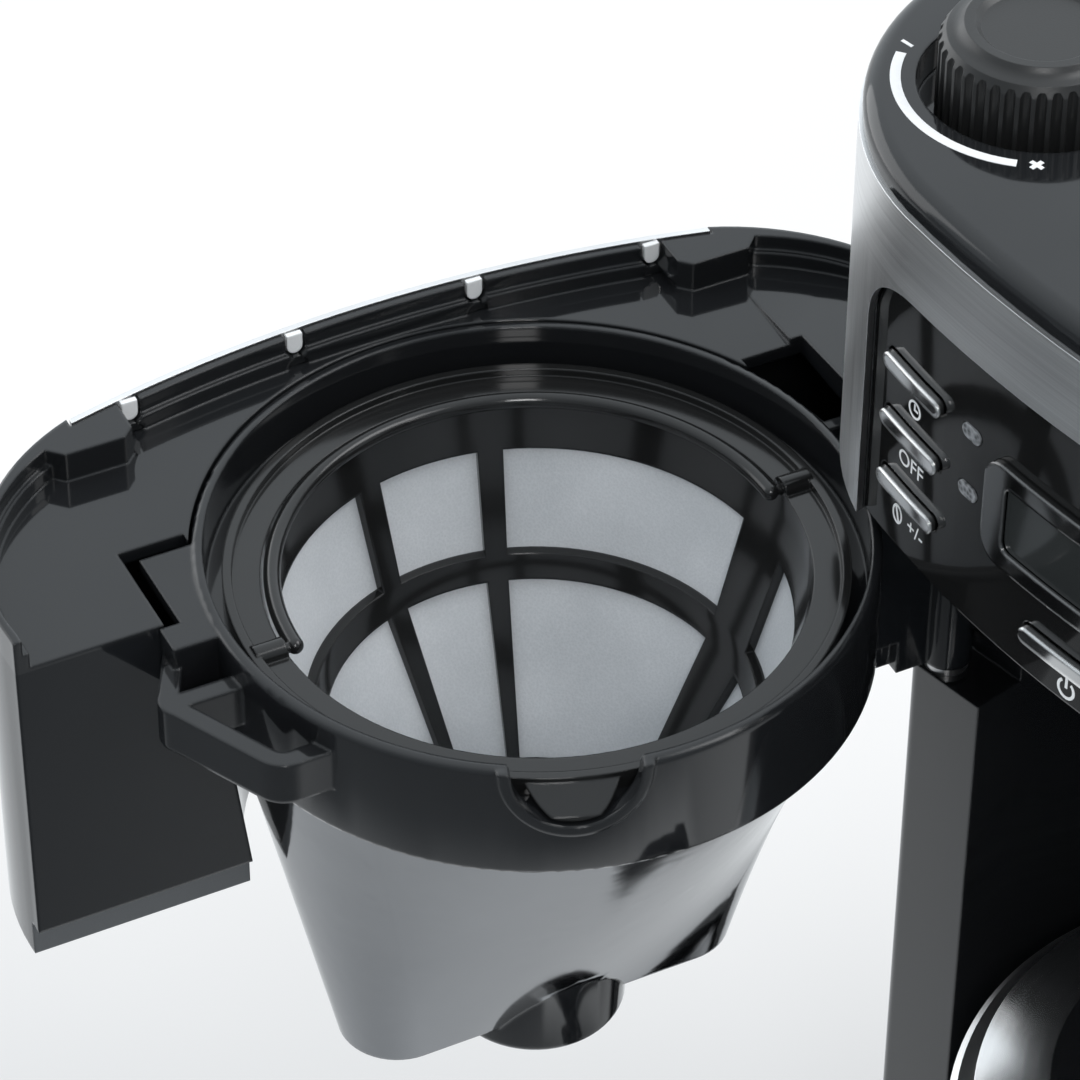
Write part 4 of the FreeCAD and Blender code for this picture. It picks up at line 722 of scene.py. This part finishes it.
def screws(name, tree, points, tilt, body):
    """A set of screws on points, as one plain mesh."""
    carrier_mesh = bpy.data.meshes.new(name + "_points")
    carrier_mesh.from_pydata(points, [], [])
    carrier = bpy.data.objects.new(name + "_points", carrier_mesh)
    bpy.context.scene.collection.objects.link(carrier)
    maker = carrier.modifiers.new("screws", "NODES")
    maker.node_group = tree
    sizes = {"Head radius": 0.0034, "Head height": 0.0014, "Recess width": 0.0009, "Tilt": tilt}
    for item in tree.interface.items_tree:
        if item.name in sizes:
            maker[item.identifier] = sizes[item.name]
    bpy.context.view_layer.update()
    mesh = bpy.data.meshes.new_from_object(carrier.evaluated_get(bpy.context.evaluated_depsgraph_get()))
    bpy.data.objects.remove(carrier)
    piece(name, mesh, plain_steel, body)


def tab_outline(width, height, steps):
    """An upright tab with a round foot: its top at zero, its foot at minus its height."""
    half = width / 2
    turns = [math.pi + math.pi * i / steps for i in range(steps + 1)]
    foot = [(half * math.cos(t), half - height + half * math.sin(t)) for t in turns]
    return [(-half, 0.0)] + foot + [(half, 0.0)]


def wall_pieces(name, outline, top, depth, finish):
    """One upright piece behind the door's skin at each of the four slots, as one mesh."""
    shape = bmesh.new()
    curve = (door_jog_x ** 2 + door_sag ** 2) / (2 * door_sag)
    for x in clip_places:
        face_y = -door_apex + curve - math.sqrt(curve ** 2 - x ** 2) + skin_back
        near = [(*opened(x + u, face_y + wall_gap), top + v) for u, v in outline]
        far = [(*opened(x + u, face_y + depth), top + v) for u, v in outline]
        add_prism(shape, near, far)
    piece(name, finished_mesh(name, shape), finish, "door")


def skin_tabs():
    """The pale clips of the door's skin in its wall's slots, and black plugs in the holes at their foot."""
    steps = 8
    clip = tab_outline(clip_width, clip_height, steps)
    wall_pieces("skin_tabs", clip, door_top + wall_gap, clip_depth, nylon_white)
    turns = [math.pi * i / steps for i in range(steps + 1)]
    plug = [(plug_radius * math.cos(t), plug_radius * math.sin(t)) for t in turns]
    wall_pieces("wall_plugs", plug, plate_top + wall_gap, plug_depth, body_black)


def spring_coil():
    """The drip valve's coil spring, in the place of the solid spring that it hides."""
    low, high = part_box("valve_spring")
    wire = 0.0005
    turns, steps, sides = 7, 20, 8
    radius = (high.x - low.x) / 2 - wire
    x, y = (low.x + high.x) / 2, (low.y + high.y) / 2
    climb = high.z - low.z - 2 * wire
    shape = bmesh.new()
    rings = []
    for i in range(turns * steps + 1):
        turn = 2 * math.pi * i / steps
        level = low.z + wire + climb * i / (turns * steps)
        ring = []
        for side in range(sides):
            around = 2 * math.pi * side / sides
            reach = radius + wire * math.cos(around)
            place = (x + reach * math.cos(turn), y + reach * math.sin(turn), level + wire * math.sin(around))
            ring.append(shape.verts.new(place))
        rings.append(ring)
    for first, second in zip(rings, rings[1:]):
        for side in range(sides):
            after = (side + 1) % sides
            shape.faces.new((first[side], first[after], second[after], second[side]))
    shape.faces.new(rings[0])
    shape.faces.new(rings[-1])
    coil = piece("spring_coil", finished_mesh("spring_coil", shape), plain_steel, "basket")
    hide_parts("valve_spring")
    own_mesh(coil)


skin_tabs()
spring_coil()
scale_marks()
panel_marks()
display_figures()
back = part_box("rear_cover")[1].y
screw_points = [(x, back + screw_seat, z) for x in screw_columns for z in screw_heights]
screws("rear_screws", screw_tree(plain_steel), screw_points, math.radians(-90), "machine")


# Stage, light and camera


def studio_floor():
    """A pale floor, fully bright far off, with painted shadow that turns it a little grey near the front,
    and painted shade that makes it darker still there in reflections.
    """
    half = 6.0
    mesh = bpy.data.meshes.new("floor")
    corners = [(-half, -half, 0), (half, -half, 0), (half, half, 0), (-half, half, 0)]
    mesh.from_pydata(corners, [], [(0, 1, 2, 3)])
    floor = bpy.data.objects.new("floor", mesh)
    bpy.context.scene.collection.objects.link(floor)
    finish = new_finish("studio_floor")
    seen = finish.node("ShaderNodeLightPath", output="Is Camera Ray")
    mirrored = finish.node("ShaderNodeLightPath", output="Is Glossy Ray")
    through = finish.node("ShaderNodeLightPath", output="Is Transmission Ray")

    def glow(direction, start, end, far_tone, near_tone):
        """Light from the floor itself, fading along a direction from a far tone to a darker near tone of
        painted shade.
        """
        share = finish.ramp(finish.along(direction, finish.here()), start, end, "SMOOTHSTEP")
        return finish.node("ShaderNodeEmission", {}, {
            "Color": finish.between(share, far_tone, near_tone), "Strength": 1.0})

    matt = finish.node("ShaderNodeBsdfDiffuse", {}, {"Color": grey(0.88)})
    # painted shadow: as the camera sees it, the floor's glow turns grey near the machine's front, standing
    # in for the machine's shadow there
    seen_glow_with_painted_shadow = glow((0.74, -0.67, 0.0), -0.40, -0.05, 0.975, (0.62, 0.63, 0.64))
    # painted shade: in reflections the floor's glow turns dark near the front, which darkens what the cone
    # and other gloss reflect
    mirrored_glow_with_painted_shade = glow((0.35, -0.94, 0.0), 0.05, 0.34, (0.93, 0.965, 0.99), (0.23, 0.25, 0.265))
    looked_at = finish.either(0.72 * seen, matt, seen_glow_with_painted_shadow)
    whole = finish.either(mirrored + through, looked_at, mirrored_glow_with_painted_shade)
    mesh.materials.append(finish.done(whole))


def studio_world():
    """Soft light from all round, brightest from the back left above, and a little cool."""
    world = bpy.data.worlds.new("studio")
    bpy.context.scene.world = world
    finish = Finish(world)
    where = finish.node("ShaderNodeTexCoord", output="Generated")
    back_left = (-0.56, 0.51, 0.655)
    share = finish.ramp(finish.along(back_left, where), -0.35, 0.95, "SMOOTHSTEP")
    tint = finish.between(share, (0.38, 0.42, 0.45), (1.10, 1.18, 1.24))
    light = finish.node("ShaderNodeBackground", {}, {"Color": tint, "Strength": 1.0})
    finish.done(light, "ShaderNodeOutputWorld")


def softbox(name, place, target, size, power):
    """A rectangular lamp that faces a point."""
    lamp = bpy.data.lights.new(name, "AREA")
    lamp.shape = "RECTANGLE"
    lamp.size, lamp.size_y = size
    lamp.energy = power
    thing = bpy.data.objects.new(name, lamp)
    thing.location = place
    thing.rotation_euler = (Vector(target) - Vector(place)).to_track_quat("-Z", "Y").to_euler()
    bpy.context.scene.collection.objects.link(thing)


def photo_camera():
    """The camera, placed and turned as the photograph was taken."""
    lens = bpy.data.cameras.new("photo_camera")
    lens.sensor_width = sensor_width
    lens.lens = focal_pixels * sensor_width / photo_width
    lens.clip_start = 0.05
    lens.clip_end = 30.0
    camera = bpy.data.objects.new("photo_camera", lens)
    bpy.context.scene.collection.objects.link(camera)
    turn = Matrix.Rotation(camera_azimuth, 4, "Z") @ Matrix.Rotation(math.pi / 2 - camera_pitch, 4, "X")
    camera.matrix_world = Matrix.Translation(camera_place) @ turn @ Matrix.Rotation(camera_roll, 4, "Z")
    bpy.context.scene.camera = camera


studio_floor()
studio_world()
softbox("key", place=(0.64, 0.75, 1.6), target=(-0.08, -0.05, 0.3), size=(1.1, 1.1), power=14.0)
softbox("side", place=(-1.3, -0.35, 0.6), target=(-0.05, -0.05, 0.3), size=(1.2, 1.0), power=5.0)
softbox("front", place=(0.95, -0.85, 1.45), target=(-0.08, -0.08, 0.3), size=(0.3, 0.3), power=6.5)
photo_camera()
bpy.context.scene.view_settings.view_transform = "Standard"
